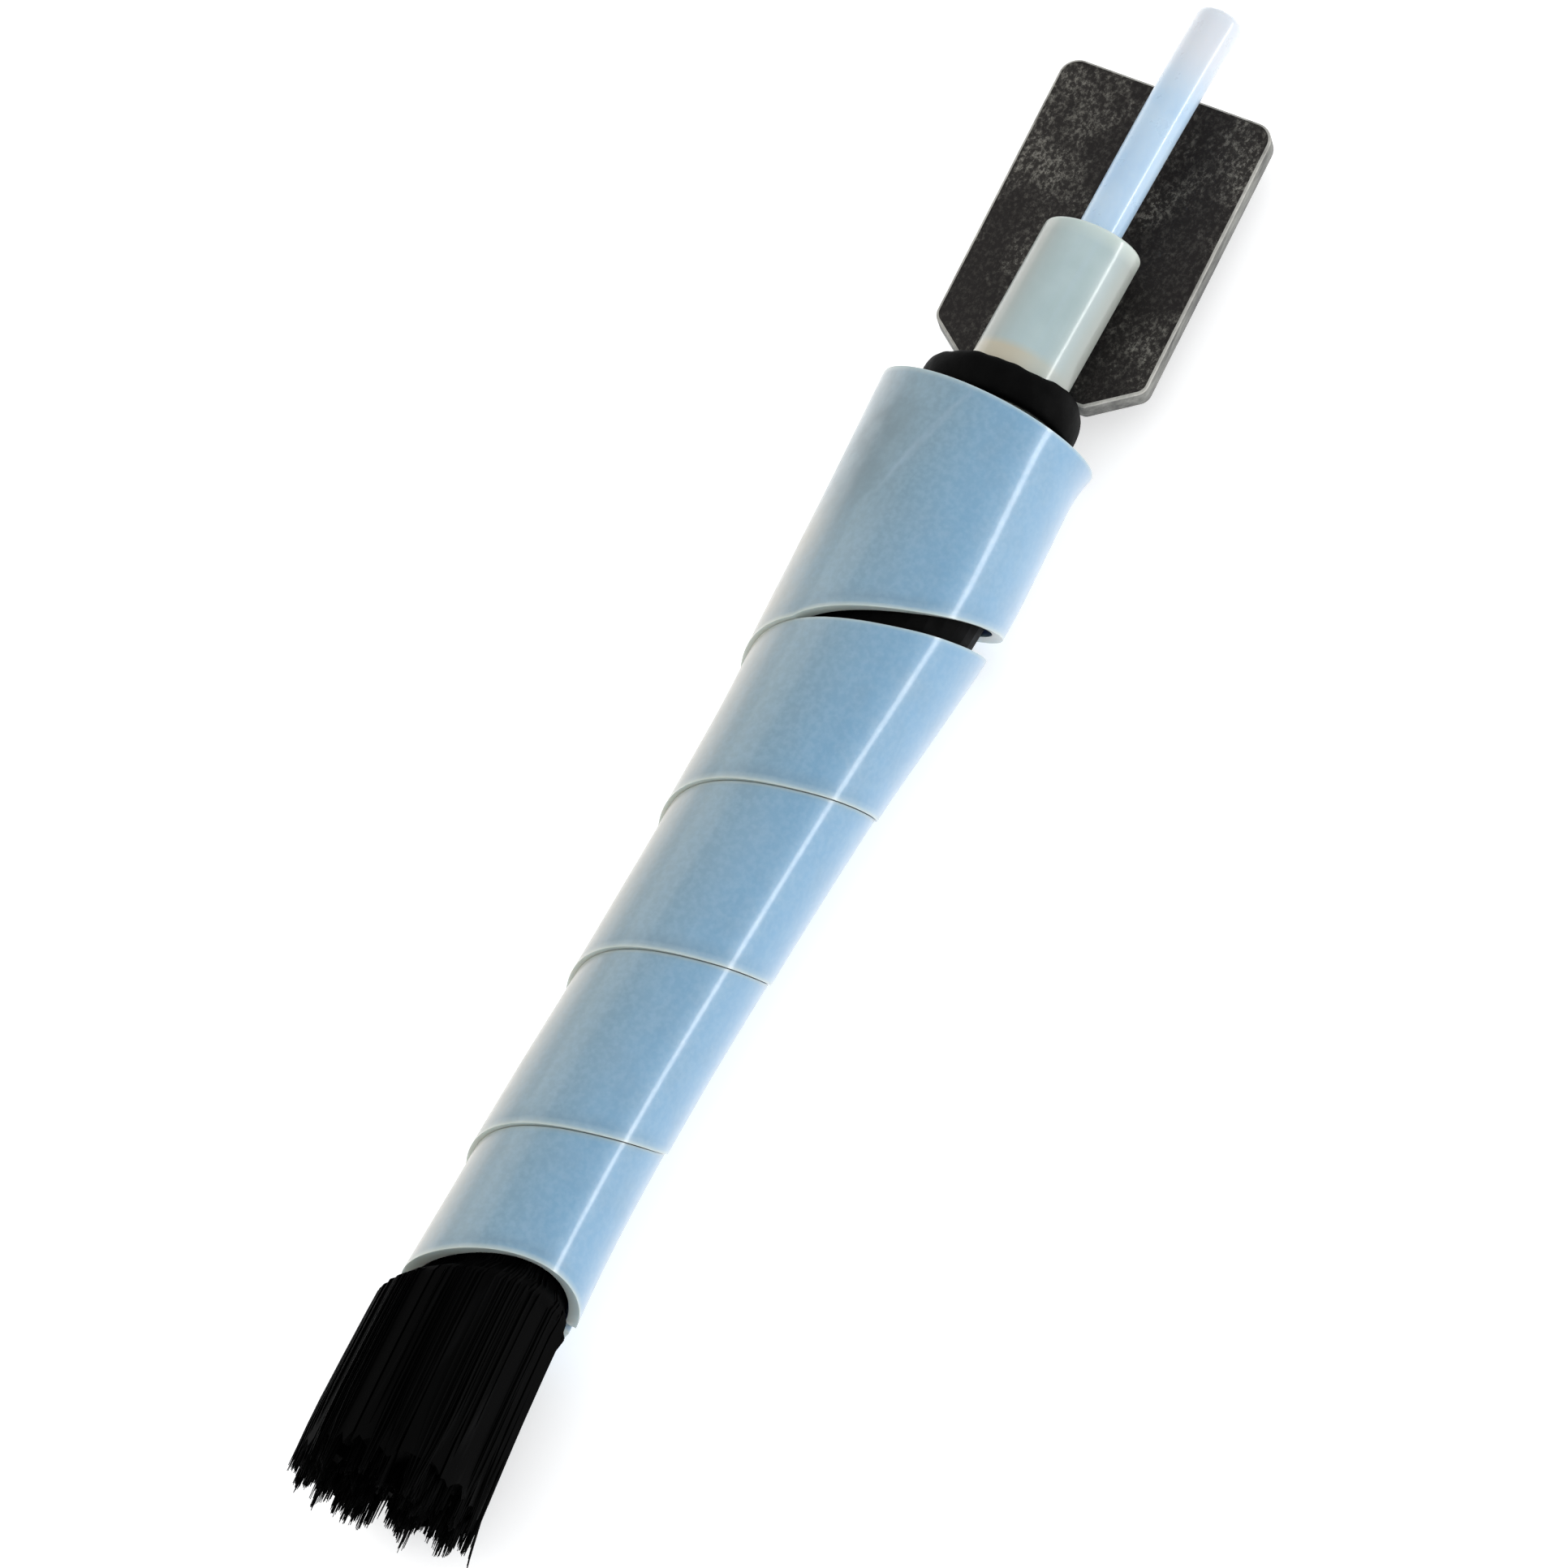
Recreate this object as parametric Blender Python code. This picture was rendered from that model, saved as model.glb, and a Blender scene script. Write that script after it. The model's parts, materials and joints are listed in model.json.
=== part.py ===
"""Fluid-fed carbon-fibre cleaning brush, lying on its side.

The lower bundle's axis runs parallel to X, with the tuft at -X and the terminal plate at +X.
The head (wrap collar, ferrule, ring and plate) leans sideways from that axis by HEAD_LEAN, in
the horizontal plane. A station is a distance along the bundle's centreline, measured on X.
"""

import math

import bmesh
import bpy
from mathutils import Matrix, Vector

MM = 0.001

# Placement: the wrap's collar rests on the surface at z = 0.
AXIS_HEIGHT = 6.584 * MM
SHIFT = Vector((-2.316 * MM, -1.031 * MM, AXIS_HEIGHT))

# Centreline.
HEAD_LEAN = math.radians(4.5)
BEND_STATION = 14.0 * MM
BEND_REACH = 3.0 * MM
SAG_START = -19.0 * MM
SAG_AT_TIP = 1.83 * MM

# Fibre bundle.
TUFT_TIP = -48.2 * MM
TUFT_ROOT = -35.10 * MM
BULGE_REACH = 2.0 * MM
TUFT_SHIFT = 0.62 * MM
SHIFT_REACH = 4.0 * MM
RIM_FOLLOW_TOP = -20.0 * MM
BUNDLE_RADIUS = 3.75 * MM
BOUND_RADIUS = 4.20 * MM
BOUND_TO = 8.0 * MM
CLAMP_FROM = 13.0 * MM
CLAMP_TO = 15.0 * MM
CLAMPED_RADIUS = 4.10 * MM
TUFT_ROOT_RADIUS = 5.12 * MM
TUFT_TIP_RADIUS = 5.90 * MM
CHANNEL_RADIUS = 0.80 * MM
CORE_RADIUS = 2.05 * MM
TOW_GAP = 0.30 * MM
CORE_TOWS = 6
OUTER_TOWS = 12
TOW_TOP = 23.7 * MM
TOW_BELOW_TANG = 15.0 * MM

# Spiral-cut wrap. The pitch shortens from turn to turn, up the wrap.
WRAP_TOP = 24.82 * MM
TOP_LEAN = 0.56 * MM
TOP_LOW_SIDE = math.radians(118)
WRAP_BOTTOM = -34.75 * MM
RIM_LEAN = 2.10 * MM
RIM_HIGH_SIDE = math.radians(138)
RIM_BOW = 0.20
WRAP_WALL = 0.70 * MM
PITCH = 11.69 * MM
PITCH_LOSS = 0.14 * MM
SEAM_GAP = 0.30 * MM
SEAM_START = -27.85 * MM
SEAM_START_ANGLE = math.radians(21)
SIDE_LEAN = 0.20 * MM
SIDE_LEAN_LOSS = 0.10 * MM
FRONT_LEAN_GROWTH = 0.36 * MM
FRONT_LEAN_LOSS = 0.045 * MM
LIFT = 0.26 * MM
LIFT_GROWTH = 0.15 * MM
LIFT_SIDE = math.radians(35)
CUT_END = math.radians(330 + 3 * 360)
WEDGE_START = math.radians(68 + 3 * 360)
WEDGE_WIDTH = 1.25 * MM
WEDGE_BLUNTNESS = 0.6
TURN_STEP = 0.22 * MM
TURN_STEP_SIDE = 0.06 * MM
STEP_FADE = math.radians(60)
STEPS_PER_TURN = 36
STRIP_END_WIDTH = 0.6 * MM
WRAP_PROFILE = (
    (-37.0 * MM, 5.10 * MM),
    (-31.0 * MM, 4.88 * MM),
    (-26.0 * MM, 4.84 * MM),
    (-16.0 * MM, 4.88 * MM),
    (-6.0 * MM, 5.16 * MM),
    (2.0 * MM, 5.52 * MM),
    (8.0 * MM, 6.06 * MM),
    (14.0 * MM, 6.50 * MM),
    (26.0 * MM, 6.56 * MM),
)

# Head pieces, along the leaning head axis from the bend.
FERRULE_FROM = 15.6 * MM
FERRULE_TO = 24.7 * MM
FERRULE_BORE = 4.40 * MM
FERRULE_RADIUS = 4.75 * MM
CRIMP_DEPTH = 0.15 * MM
RING_FROM = 25.0 * MM
RING_TO = 27.25 * MM
RING_BORE = 4.15 * MM
RING_RADIUS = 4.90 * MM
RING_OFFSET = -0.28 * MM
RING_TURN = math.radians(3.5)
BEAD_FROM = 24.2 * MM
BEAD_TO = 27.0 * MM
BEAD_RADIUS = 3.90 * MM
BEAD_GAP = 0.15 * MM

# Binding sleeve: (station, inner radius, outer radius) along the centreline.
BINDING_PROFILE = (
    (8.0 * MM, 4.50 * MM, 4.85 * MM),
    (12.0 * MM, 4.50 * MM, 5.20 * MM),
    (14.2 * MM, 4.50 * MM, 5.30 * MM),
    (15.0 * MM, 5.05 * MM, 5.35 * MM),
    (18.0 * MM, 5.05 * MM, 5.40 * MM),
    (24.6 * MM, 5.05 * MM, 5.40 * MM),
)

# Terminal plate. It stands a little off the head's axis, and leans less.
PLATE_THICKNESS = 1.50 * MM
PLATE_BACK = -3.85 * MM
PLATE_WIDTH = 13.7 * MM
PLATE_TOP = 49.3 * MM
PLATE_OFFSET = -0.25 * MM
PLATE_TURN = math.radians(-0.6)
SHOULDER_TOP = 31.0 * MM
NECK_STATION = 28.8 * MM
SHOULDER_INSET = 3.00 * MM
CORNER_RADIUS = 1.20 * MM
TANG_WIDTH = 2.00 * MM
TANG_END = 15.3 * MM

# Sleeve and feed tube share an axis that leans less than the head does.
TUBE_LEAN = math.radians(1.5)
TUBE_START = Vector((24.0 * MM, 0.19 * MM, 0.80 * MM))
SLEEVE_LENGTH = 13.7 * MM
SLEEVE_RADIUS = 3.00 * MM
SLEEVE_BORE = 1.50 * MM
FEED_INSERT = 1.00 * MM
FEED_LENGTH = 28.45 * MM
FEED_RADIUS_INNER_END = 1.20 * MM
FEED_RADIUS_OUTER_END = 1.42 * MM
FEED_BORE = 0.65 * MM


def clear_scene():
    for item in list(bpy.data.objects):
        bpy.data.objects.remove(item, do_unlink=True)


def make_material(name, colour, roughness, metallic=0.0, transmission=0.0):
    """A plain Principled material; the colour is linear RGB."""
    material = bpy.data.materials.new(name)
    material.use_nodes = True
    shader = material.node_tree.nodes["Principled BSDF"]
    shader.inputs["Base Color"].default_value = (*colour, 1.0)
    shader.inputs["Roughness"].default_value = roughness
    shader.inputs["Metallic"].default_value = metallic
    shader.inputs["Transmission Weight"].default_value = transmission
    return material


def add_piece(name, mesh_builder, material):
    """Turn a bmesh into a named, smooth-shaded object placed above the resting surface."""
    bmesh.ops.recalc_face_normals(mesh_builder, faces=mesh_builder.faces)
    mesh = bpy.data.meshes.new(name)
    mesh_builder.to_mesh(mesh)
    mesh_builder.free()
    mesh.shade_smooth()
    mesh.set_sharp_from_angle(angle=math.radians(35))
    mesh.materials.append(material)
    piece = bpy.data.objects.new(name, mesh)
    piece.location = SHIFT
    bpy.context.scene.collection.objects.link(piece)
    return piece


# Centreline and radii ---------------------------------------------------------------------


def head_rise(station):
    """Sideways offset of the centreline, blending into the head's lean over BEND_REACH."""
    past = station - BEND_STATION
    slope = math.tan(HEAD_LEAN)
    if past <= -BEND_REACH:
        return 0.0
    if past >= BEND_REACH:
        return slope * past
    return slope * (past + BEND_REACH) ** 2 / (4 * BEND_REACH)


def centre(station):
    """Point of the bundle's centreline at a station."""
    below = max(0.0, SAG_START - station)
    sag = SAG_AT_TIP * (below / (SAG_START - TUFT_TIP)) ** 2
    return Vector((station, head_rise(station) - sag, 0.0))


def ring_point(station, radius, angle):
    """Point at an angle about the centreline, counted from +Y towards +Z."""
    step = 0.05 * MM
    along = (centre(station + step) - centre(station - step)).normalized()
    side = Vector((-along.y, along.x, 0.0))
    up = Vector((0.0, 0.0, 1.0))
    return centre(station) + radius * (math.cos(angle) * side + math.sin(angle) * up)


def smooth_step(value, low, high):
    t = min(1.0, max(0.0, (value - low) / (high - low)))
    return t * t * (3 - 2 * t)


def bundle_radius(station):
    """Outer radius of the fibre bundle: bound and clamped at the head, free in the tuft."""
    if station >= TUFT_ROOT:
        bound = BUNDLE_RADIUS + (BOUND_RADIUS - BUNDLE_RADIUS) * smooth_step(station, 0.0, BOUND_TO)
        clamped = smooth_step(station, CLAMP_FROM, CLAMP_TO)
        return bound + (CLAMPED_RADIUS - BOUND_RADIUS) * clamped
    below = TUFT_ROOT - station
    spread = below / (TUFT_ROOT - TUFT_TIP)
    bulge = smooth_step(below, 0.0, BULGE_REACH)
    flared = TUFT_ROOT_RADIUS + (TUFT_TIP_RADIUS - TUFT_ROOT_RADIUS) * spread
    return BUNDLE_RADIUS + (flared - BUNDLE_RADIUS) * bulge


def wrap_radius(station):
    """Outer radius of the wrap, on straight lines between the points of its profile."""
    for (low, r_low), (high, r_high) in zip(WRAP_PROFILE, WRAP_PROFILE[1:]):
        if station <= high:
            share = min(1.0, max(0.0, (station - low) / (high - low)))
            return r_low + (r_high - r_low) * share
    return WRAP_PROFILE[-1][1]


# Spiral wrap ------------------------------------------------------------------------------


def turns_at(angle):
    return (angle - SEAM_START_ANGLE) / (2 * math.pi)


def seam(angle):
    """Station of the helical cut; the helix leans more up the wrap, and lifts on one side."""
    turns = turns_at(angle)
    side = SIDE_LEAN - SIDE_LEAN_LOSS * turns**2
    front = FRONT_LEAN_GROWTH * turns - FRONT_LEAN_LOSS * turns**2
    lean = side * math.cos(angle - SEAM_START_ANGLE) + front * math.sin(angle - SEAM_START_ANGLE)
    lift = (LIFT + LIFT_GROWTH * turns) * max(0.0, math.cos(angle - LIFT_SIDE)) ** 2
    return SEAM_START + PITCH * turns - PITCH_LOSS * turns**2 + lean + lift


def bottom_rim(angle):
    """Station of the wrap's lower end, which bows upwards on one side."""
    across = math.cos(angle - RIM_HIGH_SIDE)
    return WRAP_BOTTOM + RIM_LEAN * ((1 - RIM_BOW) * across + RIM_BOW * across**2)


def top_rim(angle):
    """Station of the wrap's upper end, lower at the front."""
    return WRAP_TOP - TOP_LEAN * math.cos(angle - TOP_LOW_SIDE)


def wedge(angle):
    """Extra opening of the last turn of the cut, where the collar leans away."""
    if not WEDGE_START < angle < CUT_END:
        return 0.0
    share = (angle - WEDGE_START) / (CUT_END - WEDGE_START)
    return WEDGE_WIDTH * math.sin(math.pi * share) ** WEDGE_BLUNTNESS


def turn_step(station, angle):
    """Each turn keeps nearly its own cylinder, so the radius steps out at every cut."""
    step = TURN_STEP + TURN_STEP_SIDE * math.cos(angle - SEAM_START_ANGLE)
    share = min(1.0, max(0.0, 1 - (seam(angle) - station) / PITCH))
    low_fade = 1 - smooth_step(angle - 2 * math.pi, CUT_END - STEP_FADE, CUT_END)
    high_fade = 1 - smooth_step(angle, CUT_END - STEP_FADE, CUT_END)
    return step / 2 * ((1 - share) * low_fade - share * high_fade)


def strip_low(angle):
    cut = angle - 2 * math.pi
    return max(seam(cut) + SEAM_GAP / 2 + wedge(cut), bottom_rim(angle))


def strip_high(angle):
    return seam(angle) - SEAM_GAP / 2


def strip_start():
    """First angle at which the strip is wide enough to have a blunt end."""
    angle = math.radians(-260)
    while strip_high(angle) - bottom_rim(angle) < STRIP_END_WIDTH:
        angle += math.radians(1)
    return angle


def wrap_column(mesh_builder, low, high, angle):
    """Outer and inner vertices up the wall at one angle."""
    column = []
    for share in (0.0, 1 / 3, 2 / 3, 1.0):
        station = low + (high - low) * share
        outer = wrap_radius(station) + turn_step(station, angle)
        column.append(
            (
                mesh_builder.verts.new(ring_point(station, outer, angle)),
                mesh_builder.verts.new(ring_point(station, outer - WRAP_WALL, angle)),
            )
        )
    return column


def join_columns(mesh_builder, left, right):
    """Outer, inner, lower and upper faces between two neighbouring columns."""
    for (a, b), (c, d) in zip(zip(left, left[1:]), zip(right, right[1:])):
        mesh_builder.faces.new((a[0], c[0], d[0], b[0]))
        mesh_builder.faces.new((b[1], d[1], c[1], a[1]))
    mesh_builder.faces.new((left[0][1], right[0][1], right[0][0], left[0][0]))
    mesh_builder.faces.new((left[-1][0], right[-1][0], right[-1][1], left[-1][1]))


def cap_column(mesh_builder, column):
    """Close the end of the strip."""
    for a, b in zip(column, column[1:]):
        mesh_builder.faces.new((a[0], b[0], b[1], a[1]))


def spiral_wrap(material):
    """A tube cut into one strip along a helix, which ends below an uncut collar."""
    builder = bmesh.new()
    start = strip_start()
    strip_steps = round((CUT_END - start) / (2 * math.pi) * STEPS_PER_TURN)
    columns = []
    for i in range(strip_steps + 1):
        angle = start + (CUT_END - start) * i / strip_steps
        columns.append(wrap_column(builder, strip_low(angle), strip_high(angle), angle))
    for left, right in zip(columns, columns[1:]):
        join_columns(builder, left, right)
    cap_column(builder, columns[0])

    # The collar starts at the cut's end, where the strip runs on into it, and comes round to
    # stand on top of the same place.
    collar = []
    for i in range(STEPS_PER_TURN + 1):
        angle = CUT_END + 2 * math.pi * i / STEPS_PER_TURN
        collar.append(wrap_column(builder, strip_low(angle), top_rim(angle), angle))
    for left, right in zip(collar[1:], collar[2:]):
        join_columns(builder, left, right)

    # First panel: its left side is the strip's end below and the collar's end above.
    last = columns[-1]
    closing = collar[-1]
    first = collar[1]
    for pair in collar[0]:
        builder.verts.remove(pair[0])
        builder.verts.remove(pair[1])
    outer = [pair[0] for pair in last + closing]
    inner = [pair[1] for pair in last + closing]
    builder.faces.new(outer + [pair[0] for pair in reversed(first)])
    builder.faces.new(list(reversed(inner)) + [pair[1] for pair in first])
    builder.faces.new((last[0][0], first[0][0], first[0][1], last[0][1]))
    builder.faces.new((first[-1][0], closing[-1][0], closing[-1][1], first[-1][1]))
    builder.faces.new((last[-1][0], closing[0][0], closing[0][1], last[-1][1]))
    return add_piece("spiral_wrap", builder, material)


# Lofted and turned pieces -----------------------------------------------------------------


def loft(sections):
    """Closed skin through a list of sections, each a loop of points."""
    builder = bmesh.new()
    loops = [[builder.verts.new(point) for point in section] for section in sections]
    for low, high in zip(loops, loops[1:]):
        for i in range(len(low)):
            j = (i + 1) % len(low)
            builder.faces.new((low[i], low[j], high[j], high[i]))
    builder.faces.new(loops[0])
    builder.faces.new(loops[-1])
    return builder


def turned(profile, placement, segments):
    """Solid of revolution about X from a closed (station, radius) outline, then placed."""
    builder = bmesh.new()
    verts = [builder.verts.new((station, 0.0, radius)) for station, radius in profile]
    for i in range(len(verts)):
        builder.edges.new((verts[i], verts[(i + 1) % len(verts)]))
    bmesh.ops.spin(
        builder,
        geom=builder.verts[:] + builder.edges[:],
        cent=(0, 0, 0),
        axis=(1, 0, 0),
        angle=2 * math.pi,
        steps=segments,
        use_duplicate=False,
    )
    bmesh.ops.remove_doubles(builder, verts=builder.verts, dist=0.002 * MM)
    bmesh.ops.transform(builder, matrix=placement, verts=builder.verts)
    return builder


def head_frame():
    """The head's axis: X runs along it, with stations counted as on the centreline."""
    pivot = Matrix.Translation((BEND_STATION, 0, 0))
    return pivot @ Matrix.Rotation(HEAD_LEAN, 4, "Z") @ pivot.inverted()


def ring_frame():
    """The ring's axis: moved aside from the head's, and turned about the ring's middle."""
    middle = (RING_FROM + RING_TO) / 2
    place = Matrix.Translation((middle, RING_OFFSET, 0)) @ Matrix.Rotation(RING_TURN, 4, "Z")
    return head_frame() @ place @ Matrix.Translation((-middle, 0, 0))


def tube_frame():
    """The axis that the sleeve and the feed tube share, from the sleeve's lower end."""
    return Matrix.Translation(TUBE_START) @ Matrix.Rotation(TUBE_LEAN, 4, "Z")


def arc_angles(first, last, count):
    return [first + (last - first) * i / (count - 1) for i in range(count)]


# Fibre bundle -----------------------------------------------------------------------------


def follow_rim(station, angle):
    """Shift a station near the wrap's lower end by the lean of its rim at that angle."""
    above = smooth_step(station, TUFT_ROOT, RIM_FOLLOW_TOP)
    below = smooth_step(station, TUFT_TIP, TUFT_ROOT - BULGE_REACH)
    return station + (bottom_rim(angle) - WRAP_BOTTOM) * (1 - above) * below


def tow_section(station, inner_share, outer_share, middle, half_angle):
    """A rounded sector of the bundle; the shares are radii in the unspread bundle."""
    scale = bundle_radius(station) / BUNDLE_RADIUS
    inner = inner_share * scale
    outer = outer_share * scale
    outer_half = half_angle - math.asin(TOW_GAP / 2 / outer)
    inner_half = half_angle - math.asin(TOW_GAP / 2 / inner)
    points = [(outer, a) for a in arc_angles(middle - outer_half, middle + outer_half, 4)]
    points += [(inner, a) for a in arc_angles(middle + inner_half, middle - inner_half, 3)]
    shift = Vector((0.0, TUFT_SHIFT * smooth_step(TUFT_ROOT - station, 0.0, SHIFT_REACH), 0.0))
    return [
        ring_point(follow_rim(station, angle), radius, angle) + shift for radius, angle in points
    ]


def tow_stations(tip, top):
    """Stations of a tow: close together where the bundle spreads or bends."""
    free = [tip, -44.5 * MM, -41.0 * MM]
    bulge = [TUFT_ROOT - BULGE_REACH * share for share in (1.0, 2 / 3, 1 / 3, 0.0)]
    held = [-27.0 * MM, -20.0 * MM, 0.0, 4.0 * MM, BOUND_TO, CLAMP_FROM, CLAMP_TO]
    clamped = [18.0 * MM, TOW_TOP]
    return [station for station in free + bulge + held + clamped if station <= top]


def ragged_tip(number):
    """Tip station of a tow: neighbouring tows end at slightly different lengths."""
    return TUFT_TIP + 0.55 * MM * (1 + math.sin(2.4 * number))


def carbon_tow(number, material):
    """One tow of the bundle. The first six are the core, around the fluid channel."""
    if number < CORE_TOWS:
        middle = 2 * math.pi * (number + 0.5) / CORE_TOWS
        shares = (CHANNEL_RADIUS, CORE_RADIUS)
        half_angle = math.pi / CORE_TOWS
        top = TOW_TOP
    else:
        place = number - CORE_TOWS
        middle = 2 * math.pi * place / OUTER_TOWS
        shares = (CORE_RADIUS + TOW_GAP, BUNDLE_RADIUS)
        half_angle = math.pi / OUTER_TOWS
        beside_tang = abs(middle - 1.5 * math.pi) < 2.2 * half_angle
        top = TOW_BELOW_TANG if beside_tang else TOW_TOP
    sections = [
        tow_section(station, *shares, middle, half_angle)
        for station in tow_stations(ragged_tip(number), top)
    ]
    return add_piece(f"carbon_tow_{number + 1:02d}", loft(sections), material)


# Head -------------------------------------------------------------------------------------


def crimp_ferrule(material):
    """Metal sleeve with two rolled crimps that clamps the tows against the tang."""
    length = FERRULE_TO - FERRULE_FROM
    profile = [(FERRULE_FROM, FERRULE_BORE), (FERRULE_FROM, FERRULE_RADIUS)]
    for share in (0.32, 0.68):
        middle = FERRULE_FROM + share * length
        profile.append((middle - 0.8 * MM, FERRULE_RADIUS))
        profile.append((middle, FERRULE_RADIUS - CRIMP_DEPTH))
        profile.append((middle + 0.8 * MM, FERRULE_RADIUS))
    profile += [(FERRULE_TO, FERRULE_RADIUS), (FERRULE_TO, FERRULE_BORE)]
    return add_piece("crimp_ferrule", turned(profile, head_frame(), 32), material)


def binding_sleeve(material):
    """Shrunk sleeve over the ferrule's outside and the bundle just below it."""
    outline = [(station, outer) for station, _, outer in BINDING_PROFILE]
    outline += [(station, inner) for station, inner, _ in reversed(BINDING_PROFILE)]
    segments = 32
    builder = bmesh.new()
    columns = []
    for i in range(segments):
        angle = 2 * math.pi * i / segments
        columns.append([builder.verts.new(ring_point(s, r, angle)) for s, r in outline])
    for i, left in enumerate(columns):
        right = columns[(i + 1) % segments]
        for j in range(len(outline)):
            k = (j + 1) % len(outline)
            builder.faces.new((left[j], right[j], right[k], left[k]))
    return add_piece("binding_sleeve", builder, material)


def retaining_ring(material):
    """Elastic ring with a rounded outside."""
    middle = (RING_FROM + RING_TO) / 2
    half = (RING_TO - RING_FROM) / 2
    bulge = RING_RADIUS - RING_BORE
    profile = [(RING_TO, RING_BORE), (RING_FROM, RING_BORE)]
    for angle in arc_angles(math.pi, 0.0, 7):
        radius = RING_BORE + 0.3 * bulge + 0.7 * bulge * math.sin(angle)
        profile.append((middle + half * math.cos(angle), radius))
    return add_piece("retaining_ring", turned(profile, ring_frame(), 40), material)


def seal_bead(name, first, last, material):
    """Sealant between the ring's bore and the sleeve, between two angles about the ring."""
    frame = head_frame() @ Matrix.Translation((0, RING_OFFSET, 0))
    clearance = SLEEVE_RADIUS + BEAD_GAP
    sections = []
    for station in (BEAD_FROM, BEAD_TO):
        along = (station - TUBE_START.x) / math.cos(TUBE_LEAN)
        hole = frame.inverted() @ tube_frame() @ Vector((along, 0, 0))
        offset = math.hypot(hole.y, hole.z)
        bearing = math.atan2(hole.z, hole.y)
        angles = arc_angles(first, last, 11)
        outline = [(BEAD_RADIUS, a) for a in angles]
        for a in reversed(angles):
            reach = math.sqrt(clearance**2 - (offset * math.sin(a - bearing)) ** 2)
            outline.append((offset * math.cos(a - bearing) + reach, a))
        sections.append(
            [frame @ Vector((station, r * math.cos(a), r * math.sin(a))) for r, a in outline]
        )
    return add_piece(name, loft(sections), material)


def plate_frame():
    """The plate's own axis: the head's, turned a little at the neck and moved aside."""
    neck = Matrix.Translation((NECK_STATION, PLATE_OFFSET, 0))
    turn = Matrix.Rotation(PLATE_TURN, 4, "Z")
    return head_frame() @ neck @ turn @ Matrix.Translation((-NECK_STATION, 0, 0))


def plate_outline():
    """Half outline of the terminal plate, from the tang's end to the top edge."""
    half = PLATE_WIDTH / 2
    points = [
        (TANG_END, TANG_WIDTH / 2),
        (NECK_STATION, TANG_WIDTH / 2),
        (NECK_STATION, half - SHOULDER_INSET),
        (SHOULDER_TOP, half),
    ]
    corner = (PLATE_TOP - CORNER_RADIUS, half - CORNER_RADIUS)
    for angle in arc_angles(math.pi / 2, 0.0, 5):
        points.append(
            (
                corner[0] + CORNER_RADIUS * math.cos(angle),
                corner[1] + CORNER_RADIUS * math.sin(angle),
            )
        )
    return points


def terminal_plate(material):
    """Flat plate with shoulders, and the tang that runs down into the ferrule."""
    left = plate_outline()
    outline = left + [(station, -offset) for station, offset in reversed(left)]
    builder = bmesh.new()
    verts = [builder.verts.new((station, offset, PLATE_BACK)) for station, offset in outline]
    face = builder.faces.new(verts)
    extruded = bmesh.ops.extrude_face_region(builder, geom=[face])
    moved = [item for item in extruded["geom"] if isinstance(item, bmesh.types.BMVert)]
    bmesh.ops.translate(builder, verts=moved, vec=(0, 0, PLATE_THICKNESS))
    bmesh.ops.transform(builder, matrix=plate_frame(), verts=builder.verts)
    piece = add_piece("terminal_plate", builder, material)
    bevel = piece.modifiers.new("edge", "BEVEL")
    bevel.width = 0.15 * MM
    bevel.segments = 1
    bevel.limit_method = "ANGLE"
    bevel.angle_limit = math.radians(50)
    return piece


def tube_sleeve(material):
    """Straight sleeve; its lower end sits in the ring, on the fluid channel."""
    profile = [
        (0.0, SLEEVE_BORE),
        (0.0, SLEEVE_RADIUS),
        (SLEEVE_LENGTH - 0.15 * MM, SLEEVE_RADIUS),
        (SLEEVE_LENGTH, SLEEVE_RADIUS - 0.15 * MM),
        (SLEEVE_LENGTH, SLEEVE_BORE),
    ]
    return add_piece("tube_sleeve", turned(profile, tube_frame(), 32), material)


def feed_tube(material):
    """Slightly conical tube, pushed into the sleeve."""
    end = FEED_INSERT + FEED_LENGTH
    profile = [
        (FEED_INSERT, FEED_BORE),
        (FEED_INSERT, FEED_RADIUS_INNER_END),
        (end - 0.2 * MM, FEED_RADIUS_OUTER_END),
        (end, FEED_RADIUS_OUTER_END - 0.2 * MM),
        (end, FEED_BORE),
    ]
    return add_piece("feed_tube", turned(profile, tube_frame(), 24), material)


def build():
    clear_scene()
    plastic = make_material("translucent_wrap", (0.32, 0.50, 0.68), 0.35, transmission=0.3)
    sleeve = make_material("milky_sleeve", (0.55, 0.60, 0.52), 0.35, transmission=0.3)
    tube = make_material("milky_tube", (0.62, 0.70, 0.80), 0.30, transmission=0.3)
    plate = make_material("dark_metal", (0.035, 0.032, 0.030), 0.45, metallic=0.8)
    steel = make_material("ferrule_metal", (0.45, 0.44, 0.42), 0.35, metallic=1.0)
    rubber = make_material("black_rubber", (0.008, 0.008, 0.008), 0.55)
    shrink = make_material("black_shrink_tube", (0.007, 0.007, 0.008), 0.45)
    sealant = make_material("black_sealant", (0.006, 0.006, 0.006), 0.70)
    carbon = make_material("carbon_fibre", (0.010, 0.010, 0.011), 0.45)

    for number in range(CORE_TOWS + OUTER_TOWS):
        carbon_tow(number, carbon)
    spiral_wrap(plastic)
    crimp_ferrule(steel)
    binding_sleeve(shrink)
    retaining_ring(rubber)
    seal_bead("seal_bead_left", math.radians(-58), math.radians(62), sealant)
    seal_bead("seal_bead_right", math.radians(183), math.radians(238), sealant)
    terminal_plate(plate)
    tube_sleeve(sleeve)
    feed_tube(tube)


build()
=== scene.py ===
"""Looks of the fluid-fed carbon-fibre cleaning brush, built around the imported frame."""
import json
import math

import bmesh
import bpy
import numpy as np
from mathutils import Matrix, Vector


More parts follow.
